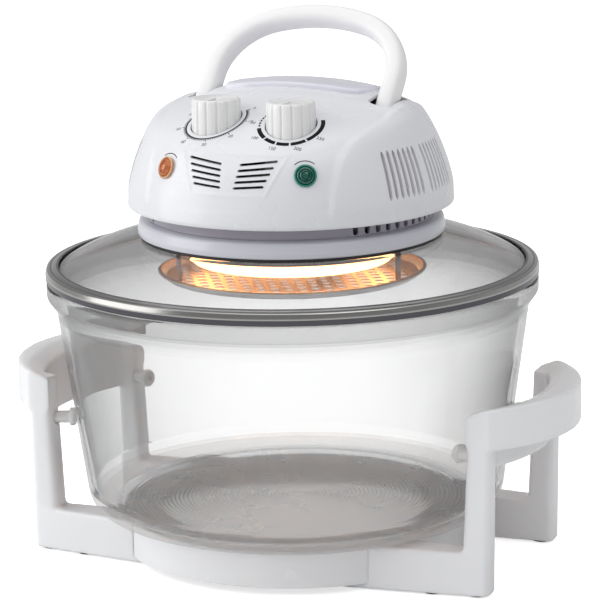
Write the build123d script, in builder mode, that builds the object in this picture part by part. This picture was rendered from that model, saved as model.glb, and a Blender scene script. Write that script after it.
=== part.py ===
"""Halogen oven: glass bowl in a white stand, domed glass lid, and a head with heater, fan and controls.

Millimetres. The origin is on the floor under the middle of the bowl, +Z is up and the knobs face -Y.
The carry handle is lowered, the lid is on the bowl and both knobs are at zero.
"""

from build123d import *
import os
from math import atan2, cos, hypot, radians, sin, sqrt

os.makedirs("parts", exist_ok=True)

# ------------------------------------------------------------------ driving sizes
# Fits
touch_gap = 0.3  # between pieces of different bodies that rest on each other
pin_clearance = 0.05  # radial, a pin in its bore
shaft_clearance = 0.5  # radial, a shaft passing through a panel

# Bowl
glass_wall = 5.0
bowl_bottom = 32.0
bowl_rim_radius = 172.0
bowl_rim_top = 197.2
bowl_rim_depth = 10.0
bowl_lip = 8.5  # width of the rim's flat top
bowl_neck_radius = bowl_rim_radius - 6.5
bowl_neck_height = bowl_rim_top - 19.2
bowl_foot_radius = 145.0
bowl_corner = 18.0
groove_count = 20
groove_first = 16.0
groove_pitch = 5.0
groove_depth = 0.8
groove_last = 125.0  # a single ring outside the others
groove_last_width = 2.0

# Stand
ring_radius = 122.0
ring_bottom = 5.0
ring_top = bowl_bottom - 1.5
ring_band = 26.0
ring_wall = 3.0
ring_round = 2.0
rest_pad_size = (12.0, 8.0)
rest_pad_radius = ring_radius - 7  # where the rest pads sit on the ring
rest_pad_angle = 33.0  # from the sides
foot_lift = 0.8  # foot pads below the arms
arm_top = ring_top + 0.3
arm_tongue = 20.0  # how far an arm reaches under the ring
arm_root_inner = 54.0  # the arm's two sides beside the ring, from the middle plane
arm_root_outer = 88.0
post_outer_head = bowl_rim_radius + 1  # the post's two faces at the grip and at the floor
post_inner_head = post_outer_head - 16
post_outer_foot = post_outer_head - 1.7
post_inner_foot = post_outer_foot - 20.3
post_side_inner = 58.0
post_side_outer = 76.0
post_round = 5.0
grip_top = 131.0
grip_depth = 29.0
grip_reach = bowl_rim_radius + 35
grip_outer_radius = 100.0
grip_inner_reach = grip_reach - 25
grip_inner_radius = 122.0
grip_wall = 3.0
web_bottom = grip_top - 44
bumper_height = 95.0
bumper_radius = 4.5
bumper_side = 63.0  # where a bumper leaves its post
bumper_sink = 9.3  # how deep a bumper sits in its post
foot_pad_radius = 6.9
foot_pad_height = 3.8
frame_screw_radius = 2.0
frame_screw_head = 3.6

# Lid
hoop_radius = bowl_rim_radius + 0.5
hoop_sheet = 1.0
hoop_bottom = bowl_rim_top + 1
hoop_inner_radius = hoop_radius - 7
seal_width = 8.3
seal_height = 2.0
lid_glass_wall = 4.5
lid_bed = 8.5  # width of the lid's flat rim
lid_bulge = 3.23  # how far the lid's section bows out between rim and crown
lid_rise = 22.0  # from the top of the lid's rim to its crown
lid_flat_radius = 104.0
lid_hole_radius = 91.0
lid_crown_height = bowl_rim_top + touch_gap + seal_height + lid_glass_wall + lid_rise

# Head housing
gasket_height = 2.4
gasket_radius = 105.5
skirt_radius = 107.0
skirt_bottom = lid_crown_height + gasket_height
skirt_height = 11.8
neck_radius = 99.5
neck_top = skirt_bottom + 24.6
housing_wall = 2.5
neck_slot_first = 49.0  # degrees from the front
neck_slot_pitch = 5.125
neck_slot_count = 17
neck_slot_width = 4.0
neck_slot_length = 10.6
dome_base = skirt_bottom + 20.6
dome_radius = 114.0
crown_radius = 300.0  # how the top falls away to both sides
crown_height = dome_base + 79.6
vent_rows = 5
vent_pitch = 4.5
vent_width = 2.0
vent_top = crown_height - 34.6
louvre_width = 2.0
louvre_length = 32.0
louvre_height = dome_base + 31
pod_start = 67.0  # side pods begin at this distance from the middle plane
pod_proud = 1.6
cap_proud = 3.0
cap_half_width = 53.0
cap_rear = 74.0

# Controls
knob_x = 27.5
knob_y = -61.0
knob_radius = 17.0
knob_top = crown_height + 1.4
knob_bottom = knob_top - 25
knob_wall = 2.0
knob_flutes = 24
knob_gap = 0.8  # around and below a knob in its well
shaft_radius = 3.0
control_plate_height = knob_bottom - 8
shaft_bottom = control_plate_height - 12
control_sheet = 1.2
lamp_x = 50.5
lamp_y = -92.0
lamp_z = crown_height - 44.1
lamp_tilt = 20.0  # degrees above level
lamp_flange_radius = 7.6
lamp_lens_radius = 5.7
lamp_length = 4.0  # in front of and behind the middle of the lens

# Carry handle
pivot_y = 3.5
pivot_z = crown_height - 20.6
handle_lean = 42.7  # degrees behind upright, lowered
handle_half_span = 68.0
handle_rise = 84.0
handle_corner = 48.0
handle_top_radius = 116.0
handle_bar_width = 14.0
handle_bar_depth = 17.0
handle_bar_round = 5.0
hub_radius = 9.0
pin_radius = 3.0

# Chassis
chassis_sheet = 1.5
deck_radius = neck_radius - 3.5
deck_height = skirt_bottom + 2.6
deck_screw_circle = deck_radius - 2.7
deck_screw_radius = 1.5
deck_screw_head = 3.0
deck_screw_head_height = 1.8
housing_screw_circle = deck_radius - 9.6
housing_screw_length = 13.0
heater_height = deck_height - 19
heater_ring_radius = 66.0
heater_tube_radius = 4.5
strut_radius = 88.0
guard_radius = strut_radius + 5.6
guard_plate_height = deck_height - 34
guard_rim_height = guard_plate_height + 5.5
guard_sheet = 0.8
guard_bead = 1.3
guard_hole_radius = 4.0
guard_hole_pitch = 14.5
motor_shaft_radius = 3.0
fan_radius = 48.0
cooling_fan_radius = 36.0
cord_hole_radius = 4.0
cord_entry_height = dome_base + 13
cord_gland_length = 18.0


# ------------------------------------------------------------------ helpers
def polar_points(radius, angles):
    """Points on a circle; angles are degrees from the front, counted towards +X."""
    return [(radius * sin(radians(a)), -radius * cos(radians(a))) for a in angles]


def polar_planes(radius, angles, height):
    """Upright planes on a circle that face outwards; angles as in polar_points."""
    return [
        Plane(origin=(x, y, height), x_dir=(-y, x, 0), z_dir=(x, y, 0))
        for x, y in polar_points(radius, angles)
    ]


def rod(radius, bottom, top, spots=((0, 0),), mode=Mode.ADD):
    """Upright cylinders between two heights, added to (or cut from) the part being built."""
    with Locations(*[(x, y, bottom) for x, y in spots]):
        Cylinder(radius, top - bottom, align=(Align.CENTER, Align.CENTER, Align.MIN), mode=mode)


def block(x_range, y_range, z_range, mode=Mode.ADD):
    """Box between two values on each axis, added to (or cut from) the part being built."""
    with Locations((x_range[0], y_range[0], z_range[0])):
        Box(
            x_range[1] - x_range[0],
            y_range[1] - y_range[0],
            z_range[1] - z_range[0],
            align=(Align.MIN, Align.MIN, Align.MIN),
            mode=mode,
        )


# ------------------------------------------------------------------ shared profiles
# Points on the housing's surface, each with the direction its surface faces, in degrees.
dome_outline = [
    (dome_radius + 0.4, dome_base - 6, 4),
    (dome_radius - 6.8, dome_base + 30, 20),
    (dome_radius - 22, dome_base + 62, 40),
    (dome_radius - 31.4, dome_base + 71.2, 54),
    (dome_radius - 44, dome_base + 77.6, 70),
    (dome_radius - 78, dome_base + 82.6, 84),
    (0.0, dome_base + 84, 90),
]
roof_outline = [
    (-dome_radius - 2, crown_height - 66.6, 165),
    (7.5 - dome_radius, crown_height - 44.6, 149),
    (29 - dome_radius, crown_height - 25.1, 128),
    (69 - dome_radius, crown_height - 8.1, 109),
    (0.0, crown_height, 90),
    (dome_radius - 62, crown_height - 4.5, 76),
    (dome_radius - 26, crown_height - 24.6, 50),
    (dome_radius - 7, crown_height - 44.6, 32),
    (dome_radius + 2, crown_height - 66.6, 15),
]


def inside(points, inset):
    """The same points, moved a distance to the inner side of the surface."""
    return [(u - inset * cos(radians(a)), v - inset * sin(radians(a))) for u, v, a in points]


def dome_half(inset):
    """Half section of the housing seen from the front: steep sides, rounded shoulders, flat crown."""
    foot, flank, edge, shoulder, brow, top, peak = inside(dome_outline, inset)
    with BuildSketch(Plane.XZ) as section:
        with BuildLine():
            ThreePointArc(foot, flank, edge)
            ThreePointArc(edge, shoulder, brow)
            ThreePointArc(brow, top, peak)
            Polyline(peak, (0, dome_base - 40), (foot[0], dome_base - 40), foot)
        make_face()
    return section.sketch


def roof_half(inset):
    """Section of the housing seen from the side: sloping front, crown and rounded back."""
    points = inside(roof_outline, inset)
    depth = dome_base - 40
    with BuildSketch(Plane.YZ) as section:
        with BuildLine():
            for i in range(0, 8, 2):
                ThreePointArc(points[i], points[i + 1], points[i + 2])
            Polyline(points[8], (points[8][0], depth), (points[0][0], depth), points[0])
        make_face()
    return section.sketch


def housing_form(inset, bottom):
    """Solid of the dome at a distance inside (or, if negative, outside) its outer surface."""
    crown_axis = Axis((0, 0, crown_height - crown_radius), (0, 1, 0))
    with BuildPart() as roof:
        add(roof_half(inset).rotate(crown_axis, -30))
        revolve(axis=crown_axis, revolution_arc=60)
    with BuildPart() as form:
        add(dome_half(inset))
        revolve(axis=Axis.Z)
        add(roof.part, mode=Mode.INTERSECT)
        rod(2 * dome_radius, dome_base - 60, bottom, mode=Mode.SUBTRACT)
    return form.part


# ------------------------------------------------------------------ stand
frame_screw_spots = polar_points(ring_radius - arm_tongue / 2, (52, 128, 232, 308))
boss_radius = frame_screw_radius + 3
frame_screw_depth = 12.0
frame_screw_seat = ring_bottom - 1.5  # where the screw heads pull the arms up
frame_screw_head_height = 2.2

with BuildPart() as base_ring:
    with BuildSketch(Plane.XZ):
        with Locations((ring_radius, ring_bottom)):
            Rectangle(ring_band, ring_top - ring_bottom, align=(Align.MAX, Align.MIN))
        with Locations((ring_radius - ring_wall, ring_bottom)):
            Rectangle(
                ring_band - 2 * ring_wall,
                ring_top - ring_bottom - ring_wall,
                align=(Align.MAX, Align.MIN),
                mode=Mode.SUBTRACT,
            )
    revolve(axis=Axis.Z)
    rod(boss_radius, ring_bottom, ring_top - 1, frame_screw_spots)
    rod(frame_screw_radius, ring_bottom, ring_bottom + frame_screw_depth, frame_screw_spots, Mode.SUBTRACT)
    fillet(base_ring.faces().sort_by(Axis.Z)[-1].outer_wire().edges(), ring_round)
base_ring.part.label = "base_ring"
export_step(base_ring.part, "parts/base_ring.step")

grip_outer_centre = grip_reach - grip_outer_radius
grip_inner_centre = grip_inner_reach - grip_inner_radius
post_side_middle = (post_side_inner + post_side_outer) / 2
post_rise = grip_top - foot_lift
post_face_x = post_inner_foot + (post_inner_head - post_inner_foot) * bumper_height / post_rise
bumper_angle = atan2(bumper_side, post_face_x)
wall_lean = (bowl_neck_radius - bowl_foot_radius) / (bowl_neck_height - bowl_bottom)
bumper_seat = hypot(post_face_x, bumper_side) + bumper_sink
bumper_tip = bowl_foot_radius + wall_lean * (bumper_height + bumper_radius - bowl_bottom) + touch_gap
foot_pad_spots = [
    ((post_inner_foot + post_outer_foot) / 2, post_side_middle),
    (ring_radius + foot_pad_radius + 2, (arm_root_inner + arm_root_outer) / 2),
]


def bumper_plane(side_x, side_y):
    """Plane on a bumper's outer end that faces the bowl's axis."""
    out = (side_x * cos(bumper_angle), side_y * sin(bumper_angle))
    end = (out[0] * bumper_seat, out[1] * bumper_seat, bumper_height)
    return Plane(origin=end, x_dir=(out[1], -out[0], 0), z_dir=(-out[0], -out[1], 0))


def crescent(shift, half_length):
    """Plan of a grip between its outer and inner arcs, each moved inwards by a shift."""
    with BuildSketch() as plan:
        with Locations((grip_outer_centre, 0)):
            Circle(grip_outer_radius - shift)
        with Locations((grip_inner_centre, 0)):
            Circle(grip_inner_radius + shift, mode=Mode.SUBTRACT)
            Rectangle(
                grip_reach,
                2 * half_length,
                align=(Align.MIN, Align.CENTER),
                mode=Mode.INTERSECT,
            )
    return plan.sketch


def post_plan(inner, outer, side, height):
    """Rounded plan of a post at one height."""
    with BuildSketch(Plane.XY.offset(height)) as plan:
        with Locations((inner, side * post_side_middle)):
            Rectangle(
                outer - inner,
                post_side_outer - post_side_inner,
                align=(Align.MIN, Align.CENTER),
            )
        fillet(plan.vertices(), post_round)
    return plan.sketch


with BuildPart() as side_frame_right:
    for side in (1, -1):
        with BuildSketch(Plane.XY.offset(foot_lift)):
            Polygon(
                (ring_radius * 0.5, side * arm_root_outer),
                (post_outer_foot - 2, side * post_side_outer),
                (post_outer_foot - 2, side * post_side_inner),
                (ring_radius * 0.5, side * arm_root_inner),
                align=None,
            )
        extrude(amount=arm_top - foot_lift)
    rod(ring_radius, ring_bottom, arm_top + 1, mode=Mode.SUBTRACT)
    rod(ring_radius - arm_tongue, 0, arm_top, mode=Mode.SUBTRACT)
    for side in (1, -1):
        add(post_plan(post_inner_foot, post_outer_foot, side, foot_lift))
        add(post_plan(post_inner_head, post_outer_head, side, grip_top))
        loft()
    with BuildSketch(Plane.XY.offset(grip_top - grip_depth)):
        add(crescent(0, post_side_outer))
    extrude(amount=grip_depth)
    with BuildSketch(Plane.XY.offset(grip_top - grip_depth)):
        add(crescent(grip_wall, post_side_inner))
    extrude(amount=grip_depth - grip_wall, mode=Mode.SUBTRACT)
    with BuildSketch(Plane.XY.offset(web_bottom)):
        with Locations((grip_inner_centre, 0)):
            Circle(grip_inner_radius + grip_wall)
            Circle(grip_inner_radius, mode=Mode.SUBTRACT)
            Rectangle(
                grip_reach,
                2 * (post_side_inner + 2),
                align=(Align.MIN, Align.CENTER),
                mode=Mode.INTERSECT,
            )
    extrude(amount=grip_top - web_bottom)
    for side in (1, -1):
        with BuildSketch(bumper_plane(1, side)):
            Circle(bumper_radius)
        extrude(amount=bumper_seat - bumper_tip, mode=Mode.SUBTRACT)
        pad_spots = [(x, side * y) for x, y in foot_pad_spots]
        rod(foot_pad_radius, 0, foot_pad_height, pad_spots, Mode.SUBTRACT)
    rod(frame_screw_radius, 0, ring_bottom, frame_screw_spots[:2], Mode.SUBTRACT)
    rod(frame_screw_head, 0, frame_screw_seat, frame_screw_spots[:2], Mode.SUBTRACT)
side_frame_right.part.label = "side_frame_right"
export_step(side_frame_right.part, "parts/side_frame_right.step")

with BuildPart() as side_frame_left:
    mirror(side_frame_right.part, about=Plane.YZ)
side_frame_left.part.label = "side_frame_left"
export_step(side_frame_left.part, "parts/side_frame_left.step")

with BuildPart() as bowl_bumpers:
    for side_x in (1, -1):
        for side_y in (1, -1):
            with BuildSketch(bumper_plane(side_x, side_y)):
                Circle(bumper_radius)
                Circle(bumper_radius / 2, mode=Mode.SUBTRACT)
            extrude(amount=bumper_seat - bumper_tip)
bowl_bumpers.part.label = "bowl_bumpers"
export_step(bowl_bumpers.part, "parts/bowl_bumpers.step")

with BuildPart() as rest_pads:
    with BuildSketch(Plane.XY.offset(ring_top)):
        for angle in (rest_pad_angle, 180 - rest_pad_angle):
            with PolarLocations(rest_pad_radius, 2, start_angle=angle):
                Rectangle(rest_pad_size[1], rest_pad_size[0])
    extrude(amount=bowl_bottom - touch_gap - ring_top)
rest_pads.part.label = "rest_pads"
export_step(rest_pads.part, "parts/rest_pads.step")

with BuildPart() as foot_pads:
    for side_x in (1, -1):
        for side_y in (1, -1):
            pad_spots = [(side_x * x, side_y * y) for x, y in foot_pad_spots]
            rod(foot_pad_radius, 0, foot_pad_height, pad_spots)
foot_pads.part.label = "foot_pads"
export_step(foot_pads.part, "parts/foot_pads.step")

with BuildPart() as frame_screws:
    head_bottom = frame_screw_seat - frame_screw_head_height
    rod(frame_screw_head, head_bottom, frame_screw_seat, frame_screw_spots)
    rod(frame_screw_radius, frame_screw_seat, ring_bottom + frame_screw_depth - 2, frame_screw_spots)
    with BuildSketch(Plane.XY.offset(head_bottom)):
        with Locations(*frame_screw_spots):
            RegularPolygon(frame_screw_radius, 6)
    extrude(amount=frame_screw_head_height - 0.8, mode=Mode.SUBTRACT)
frame_screws.part.label = "frame_screws"
export_step(frame_screws.part, "parts/frame_screws.step")

# ------------------------------------------------------------------ bowl
floor_top = bowl_bottom + glass_wall
rim_bottom = bowl_rim_top - bowl_rim_depth
lip_inner = bowl_rim_radius - bowl_lip

with BuildPart() as glass_bowl:
    with BuildSketch(Plane.XZ) as bowl_section:
        Polygon(
            (0, bowl_bottom),
            (bowl_foot_radius, bowl_bottom),
            (bowl_neck_radius, bowl_neck_height),
            (bowl_rim_radius, rim_bottom),
            (bowl_rim_radius, bowl_rim_top),
            (lip_inner, bowl_rim_top),
            (bowl_neck_radius - glass_wall, bowl_neck_height + 2),
            (bowl_foot_radius - glass_wall, floor_top),
            (0, floor_top),
            align=None,
        )
        fillet(bowl_section.vertices().filter_by(lambda v: abs(v.X - bowl_foot_radius) < 0.1), bowl_corner)
        inner_corner = bowl_foot_radius - glass_wall
        fillet(
            bowl_section.vertices().filter_by(lambda v: abs(v.X - inner_corner) < 0.1),
            bowl_corner - glass_wall + 1,
        )
        with Locations(*[(groove_first + i * groove_pitch, floor_top) for i in range(groove_count)]):
            Rectangle(groove_pitch * 0.4, 2 * groove_depth, mode=Mode.SUBTRACT)
        with Locations((groove_last, floor_top)):
            Rectangle(groove_last_width, 2 * groove_depth, mode=Mode.SUBTRACT)
    revolve(axis=Axis.Z)
glass_bowl.part.label = "glass_bowl"
export_step(glass_bowl.part, "parts/glass_bowl.step")

# ------------------------------------------------------------------ lid
seal_bottom = bowl_rim_top + touch_gap
lid_rim_bottom = seal_bottom + seal_height
lid_rim_top = lid_rim_bottom + lid_glass_wall
lid_rim_radius = hoop_radius - hoop_sheet - 1
lid_rim_inner = lid_rim_radius - lid_bed
hoop_shoulder = lid_rim_top + 2.2
hoop_top = lid_rim_top + 3

with BuildPart() as lid_seal:
    with BuildSketch(Plane.XZ):
        with Locations((hoop_radius - hoop_sheet, seal_bottom)):
            Rectangle(seal_width, seal_height, align=(Align.MAX, Align.MIN))
    revolve(axis=Axis.Z)
lid_seal.part.label = "lid_seal"
export_step(lid_seal.part, "parts/lid_seal.step")

with BuildPart() as lid_glass:
    with BuildSketch(Plane.XZ):
        with BuildLine():
            rim = Polyline(
                (lid_rim_inner, lid_rim_bottom + 1.5),
                (lid_rim_inner, lid_rim_bottom),
                (lid_rim_radius, lid_rim_bottom),
                (lid_rim_radius, lid_rim_top),
                (lid_rim_inner + 3, lid_rim_top + 1.2),
            )
            dome = SagittaArc(rim @ 1, (lid_flat_radius, lid_crown_height), -lid_bulge)
            hole = Polyline(
                dome @ 1,
                (lid_hole_radius, lid_crown_height),
                (lid_hole_radius, lid_crown_height - lid_glass_wall),
                (lid_flat_radius - 1, lid_crown_height - lid_glass_wall),
            )
            SagittaArc(hole @ 1, rim @ 0, lid_bulge)
        make_face()
    revolve(axis=Axis.Z)
lid_glass.part.label = "lid_glass"
export_step(lid_glass.part, "parts/lid_glass.step")

with BuildPart() as lid_hoop:
    with BuildSketch(Plane.XZ) as hoop_section:
        Polygon(
            (hoop_radius - hoop_sheet, hoop_bottom),
            (hoop_radius, hoop_bottom),
            (hoop_radius, hoop_shoulder),
            (hoop_inner_radius, hoop_top),
            (hoop_inner_radius, hoop_top - hoop_sheet),
            (hoop_radius - hoop_sheet, hoop_shoulder - hoop_sheet),
            align=None,
        )
        corner = hoop_section.vertices().filter_by(
            lambda v: v.X > hoop_radius - 0.1 and v.Z > hoop_shoulder - 0.1
        )
        fillet(corner, 3 * hoop_sheet)
        inner = hoop_section.vertices().filter_by(
            lambda v: abs(v.X - hoop_radius + hoop_sheet) < 0.1 and v.Z > hoop_bottom + 1
        )
        fillet(inner, 2 * hoop_sheet)
    revolve(axis=Axis.Z)
lid_hoop.part.label = "lid_hoop"
export_step(lid_hoop.part, "parts/lid_hoop.step")

# ------------------------------------------------------------------ head: lower housing
skirt_top = skirt_bottom + skirt_height
flange_inner = lid_hole_radius - 0.5
neck_slots = [neck_slot_first + i * neck_slot_pitch for i in range(neck_slot_count)]
deck_screw_spots = polar_points(deck_screw_circle, range(15, 360, 60))
housing_screw_spots = polar_points(housing_screw_circle, (53, 137, 223, 307))

with BuildPart() as head_gasket:
    with BuildSketch(Plane.XZ):
        with Locations((gasket_radius, lid_crown_height)):
            Rectangle(gasket_radius - lid_hole_radius - 1, gasket_height, align=(Align.MAX, Align.MIN))
    revolve(axis=Axis.Z)
head_gasket.part.label = "head_gasket"
export_step(head_gasket.part, "parts/head_gasket.step")

with BuildPart() as lower_housing:
    with BuildSketch(Plane.XZ):
        Polygon(
            (skirt_radius, skirt_bottom),
            (skirt_radius + 0.2, deck_height),
            (skirt_radius - 0.8, skirt_top - 1.8),
            (skirt_radius - 2, skirt_top - 0.6),
            (neck_radius, skirt_top),
            (neck_radius, neck_top),
            (neck_radius - housing_wall, neck_top),
            (neck_radius - housing_wall, skirt_top - 3),
            (skirt_radius - 3.5, skirt_top - 3.6),
            (skirt_radius - 2.8, deck_height),
            (flange_inner, deck_height),
            (flange_inner, skirt_bottom),
            align=None,
        )
    revolve(axis=Axis.Z)
    slot_planes = polar_planes(neck_radius - 6, neck_slots + [-a for a in neck_slots], skirt_top + 6)
    with BuildSketch(*slot_planes):
        SlotOverall(neck_slot_length, neck_slot_width, rotation=90)
    extrude(amount=12, mode=Mode.SUBTRACT)
    rod(deck_screw_radius, skirt_bottom, deck_height, deck_screw_spots, Mode.SUBTRACT)
lower_housing.part.label = "lower_housing"
export_step(lower_housing.part, "parts/lower_housing.step")

# ------------------------------------------------------------------ head: upper housing
crown_surface = housing_form(0, dome_base)
crown_lining = housing_form(housing_wall, dome_base + housing_wall)
knob_well_radius = knob_radius + knob_gap
knob_well_floor = knob_bottom - knob_gap
handle_slot_x = (handle_half_span - 8.2, handle_half_span + 8.2)
handle_slot_y = (-8.0, 31.0)
lamp_planes = [
    Plane(
        origin=(side * lamp_x, lamp_y, lamp_z),
        x_dir=(-lamp_y, side * lamp_x, 0),
        z_dir=(side * lamp_x, lamp_y, hypot(lamp_x, lamp_y) * sin(radians(lamp_tilt))),
    )
    for side in (-1, 1)
]
louvre_angles = [60 + 2.75 * i for i in range(7)] + [82 + 2.75 * i for i in range(7)]

well_spots = [(side * knob_x, knob_y) for side in (-1, 1)]
pod_surface = housing_form(-pod_proud, dome_base)
pod_box = (dome_radius, 2.2 * dome_radius, 1.2 * dome_radius)
pods = [
    pod_surface & Pos(side * (pod_start + pod_box[0] / 2), 0, dome_base + pod_box[2] / 2 - 10) * Box(*pod_box)
    for side in (-1, 1)
]
wells = [
    crown_surface & Pos(x, y, knob_well_floor + 18) * Cylinder(knob_well_radius + 2, 40)
    for x, y in well_spots
]
post_length = crown_height - deck_height - chassis_sheet
screw_posts = [
    crown_surface & Pos(x, y, crown_height - post_length / 2) * Cylinder(4, post_length)
    for x, y in housing_screw_spots
]

with BuildPart() as upper_housing:
    add(crown_surface)
    add(pods)
    add(crown_lining, mode=Mode.SUBTRACT)
    rod(neck_radius, dome_base - 1, dome_base + housing_wall, mode=Mode.SUBTRACT)
    add(wells)
    rod(knob_well_radius, knob_well_floor, crown_height + 5, well_spots, Mode.SUBTRACT)
    rod(shaft_radius + shaft_clearance, knob_well_floor - 4, knob_bottom, well_spots, Mode.SUBTRACT)
    for side in (-1, 1):
        x_range = sorted((side * handle_slot_x[0], side * handle_slot_x[1]))
        block(x_range, handle_slot_y, (pivot_z - 6, crown_height + 5), Mode.SUBTRACT)
        for row in range(vent_rows):
            x_near = 6.5 - 0.48 * row
            x_far = 32.0 - 1.6 * row
            middle = vent_top - vent_pitch * row
            x_range = sorted((side * x_near, side * x_far))
            z_range = (middle - vent_width / 2, middle + vent_width / 2)
            block(x_range, (-dome_radius, 54 - dome_radius), z_range, Mode.SUBTRACT)
    with BuildSketch(
        *polar_planes(dome_radius - 28, louvre_angles + [-a for a in louvre_angles], louvre_height)
    ):
        Rectangle(louvre_width, louvre_length)
    extrude(amount=36, mode=Mode.SUBTRACT)
    with BuildSketch(*lamp_planes):
        Circle(lamp_lens_radius)
    extrude(amount=8, both=True, mode=Mode.SUBTRACT)
    with Locations((0, dome_radius - 6, cord_entry_height)):
        Cylinder(cord_hole_radius + 3, 30, rotation=(90, 0, 0), mode=Mode.SUBTRACT)
    add(screw_posts)
    rod(4, deck_height + chassis_sheet, dome_base + 1, housing_screw_spots)
    rod(
        deck_screw_radius,
        deck_height,
        deck_height + housing_screw_length + 1,
        housing_screw_spots,
        Mode.SUBTRACT,
    )
upper_housing.part.label = "upper_housing"
export_step(upper_housing.part, "parts/upper_housing.step")

with BuildPart() as top_cap:
    add(housing_form(-cap_proud, dome_base))
    add(crown_surface, mode=Mode.SUBTRACT)
    with BuildSketch(Plane.XY.offset(dome_base)):
        Circle(cap_rear)
        Rectangle(
            2 * cap_half_width,
            cap_rear + 2,
            align=(Align.CENTER, Align.MIN),
            mode=Mode.INTERSECT,
        )
    extrude(amount=120, mode=Mode.INTERSECT)
top_cap.part.label = "top_cap"
export_step(top_cap.part, "parts/top_cap.step")


# ------------------------------------------------------------------ head: chassis and heater
deck_top = deck_height + chassis_sheet
insulation_bottom = deck_height - 6
insulation_radius = strut_radius - 6
reflector_bottom = insulation_bottom - 1.5
reflector_radius = insulation_radius + 1
shaft_hole = 6.0
heater_gap = 14.0  # degrees either side of the back
heater_ends = polar_points(heater_ring_radius, (180 - heater_gap, 180 + heater_gap))
holder_radius = 8.0
bulb_spot = [(knob_x, -48.0)]
strut_angles = (-40, 80, 200)
strut_width = 6.0
lead_radius = 1.2
holder_bottom = heater_height + 7
tube_end = deck_height - 3
bulb_radius = 3.0

with BuildPart() as deck_plate:
    rod(deck_radius, deck_height, deck_top)
    rod(shaft_hole, deck_height, deck_top, mode=Mode.SUBTRACT)
    rod(1, deck_height, deck_top, bulb_spot, Mode.SUBTRACT)
    rod(deck_screw_radius, deck_height, deck_top, deck_screw_spots + housing_screw_spots, Mode.SUBTRACT)
    with BuildSketch(Plane.XY.offset(deck_height)):
        with PolarLocations(deck_radius / 2 - 2, 6, start_angle=15):
            SlotOverall(14, 4, rotation=90)
    extrude(amount=chassis_sheet, mode=Mode.SUBTRACT)
deck_plate.part.label = "deck_plate"
export_step(deck_plate.part, "parts/deck_plate.step")

with BuildPart() as insulation_disc:
    rod(insulation_radius, insulation_bottom, deck_height)
    rod(shaft_hole, insulation_bottom, deck_height, mode=Mode.SUBTRACT)
    rod(holder_radius, insulation_bottom, deck_height, heater_ends, Mode.SUBTRACT)
    rod(1, insulation_bottom, deck_height, bulb_spot, Mode.SUBTRACT)
insulation_disc.part.label = "insulation_disc"
export_step(insulation_disc.part, "parts/insulation_disc.step")

with BuildPart() as reflector:
    rod(reflector_radius, reflector_bottom, insulation_bottom)
    with BuildSketch(Plane.XZ):
        with Locations((reflector_radius - 1, reflector_bottom - 5)):
            Rectangle(1, 6, align=(Align.MIN, Align.MIN))
    revolve(axis=Axis.Z)
    rod(shaft_hole, reflector_bottom, insulation_bottom, mode=Mode.SUBTRACT)
    rod(holder_radius, reflector_bottom, insulation_bottom, heater_ends, Mode.SUBTRACT)
    rod(1, reflector_bottom, insulation_bottom, bulb_spot, Mode.SUBTRACT)
reflector.part.label = "reflector"
export_step(reflector.part, "parts/reflector.step")

with BuildPart() as heater_holders:
    rod(holder_radius, holder_bottom, deck_height, heater_ends)
    rod(heater_tube_radius, holder_bottom, tube_end, heater_ends, Mode.SUBTRACT)
    rod(lead_radius, tube_end - 1, deck_height, heater_ends, Mode.SUBTRACT)
heater_holders.part.label = "heater_holders"
export_step(heater_holders.part, "parts/heater_holders.step")

with BuildPart() as heater_tube:
    end_x, end_y = heater_ends[0]
    end_plane = Plane(origin=(0, 0, heater_height), x_dir=(end_x, end_y, 0), z_dir=(end_y, -end_x, 0))
    with BuildSketch(end_plane):
        with Locations((heater_ring_radius, 0)):
            Circle(heater_tube_radius)
    revolve(axis=Axis.Z, revolution_arc=2 * heater_gap - 360)
    for x, y in heater_ends:
        with Locations((x, y, heater_height)):
            Sphere(heater_tube_radius + 0.3)
    rod(heater_tube_radius, heater_height, tube_end, heater_ends)
heater_tube.part.label = "heater_tube"
export_step(heater_tube.part, "parts/heater_tube.step")

guard_top = guard_plate_height + guard_sheet
with BuildPart() as heater_guard:
    rod(strut_radius, guard_plate_height, guard_top)
    with BuildSketch(Plane.XZ):
        Polygon(
            (strut_radius - 1, guard_plate_height),
            (strut_radius, guard_plate_height),
            (guard_radius - guard_bead - 0.1, guard_rim_height - 2.0),
            (guard_radius - guard_bead - 0.1, guard_rim_height - 1.0),
            (strut_radius - 1, guard_top),
            align=None,
        )
        with Locations((guard_radius - guard_bead, guard_rim_height - guard_bead)):
            Circle(guard_bead)
    revolve(axis=Axis.Z)
    rod(guard_hole_radius, guard_plate_height, guard_top, mode=Mode.SUBTRACT)
    for ring in range(1, 6):
        with BuildSketch(Plane.XY.offset(guard_plate_height)):
            with PolarLocations(guard_hole_pitch * ring, 6 * ring):
                Circle(guard_hole_radius)
        extrude(amount=guard_sheet, mode=Mode.SUBTRACT)
heater_guard.part.label = "heater_guard"
export_step(heater_guard.part, "parts/heater_guard.step")

with BuildPart() as guard_struts:
    for x, y in polar_points(1, strut_angles):
        with BuildSketch(Plane(origin=(0, 0, guard_top), x_dir=(x, y, 0), z_dir=(0, 0, 1))):
            with Locations((strut_radius - 1.5, 0)):
                Rectangle(1, strut_width)
        extrude(amount=deck_height - guard_top)
        with BuildSketch(Plane(origin=(0, 0, deck_height - 1), x_dir=(x, y, 0), z_dir=(0, 0, 1))):
            with Locations((strut_radius - 2, 0)):
                Rectangle(3.5, strut_width, align=(Align.MAX, Align.CENTER))
        extrude(amount=1)
guard_struts.part.label = "guard_struts"
export_step(guard_struts.part, "parts/guard_struts.step")

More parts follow.
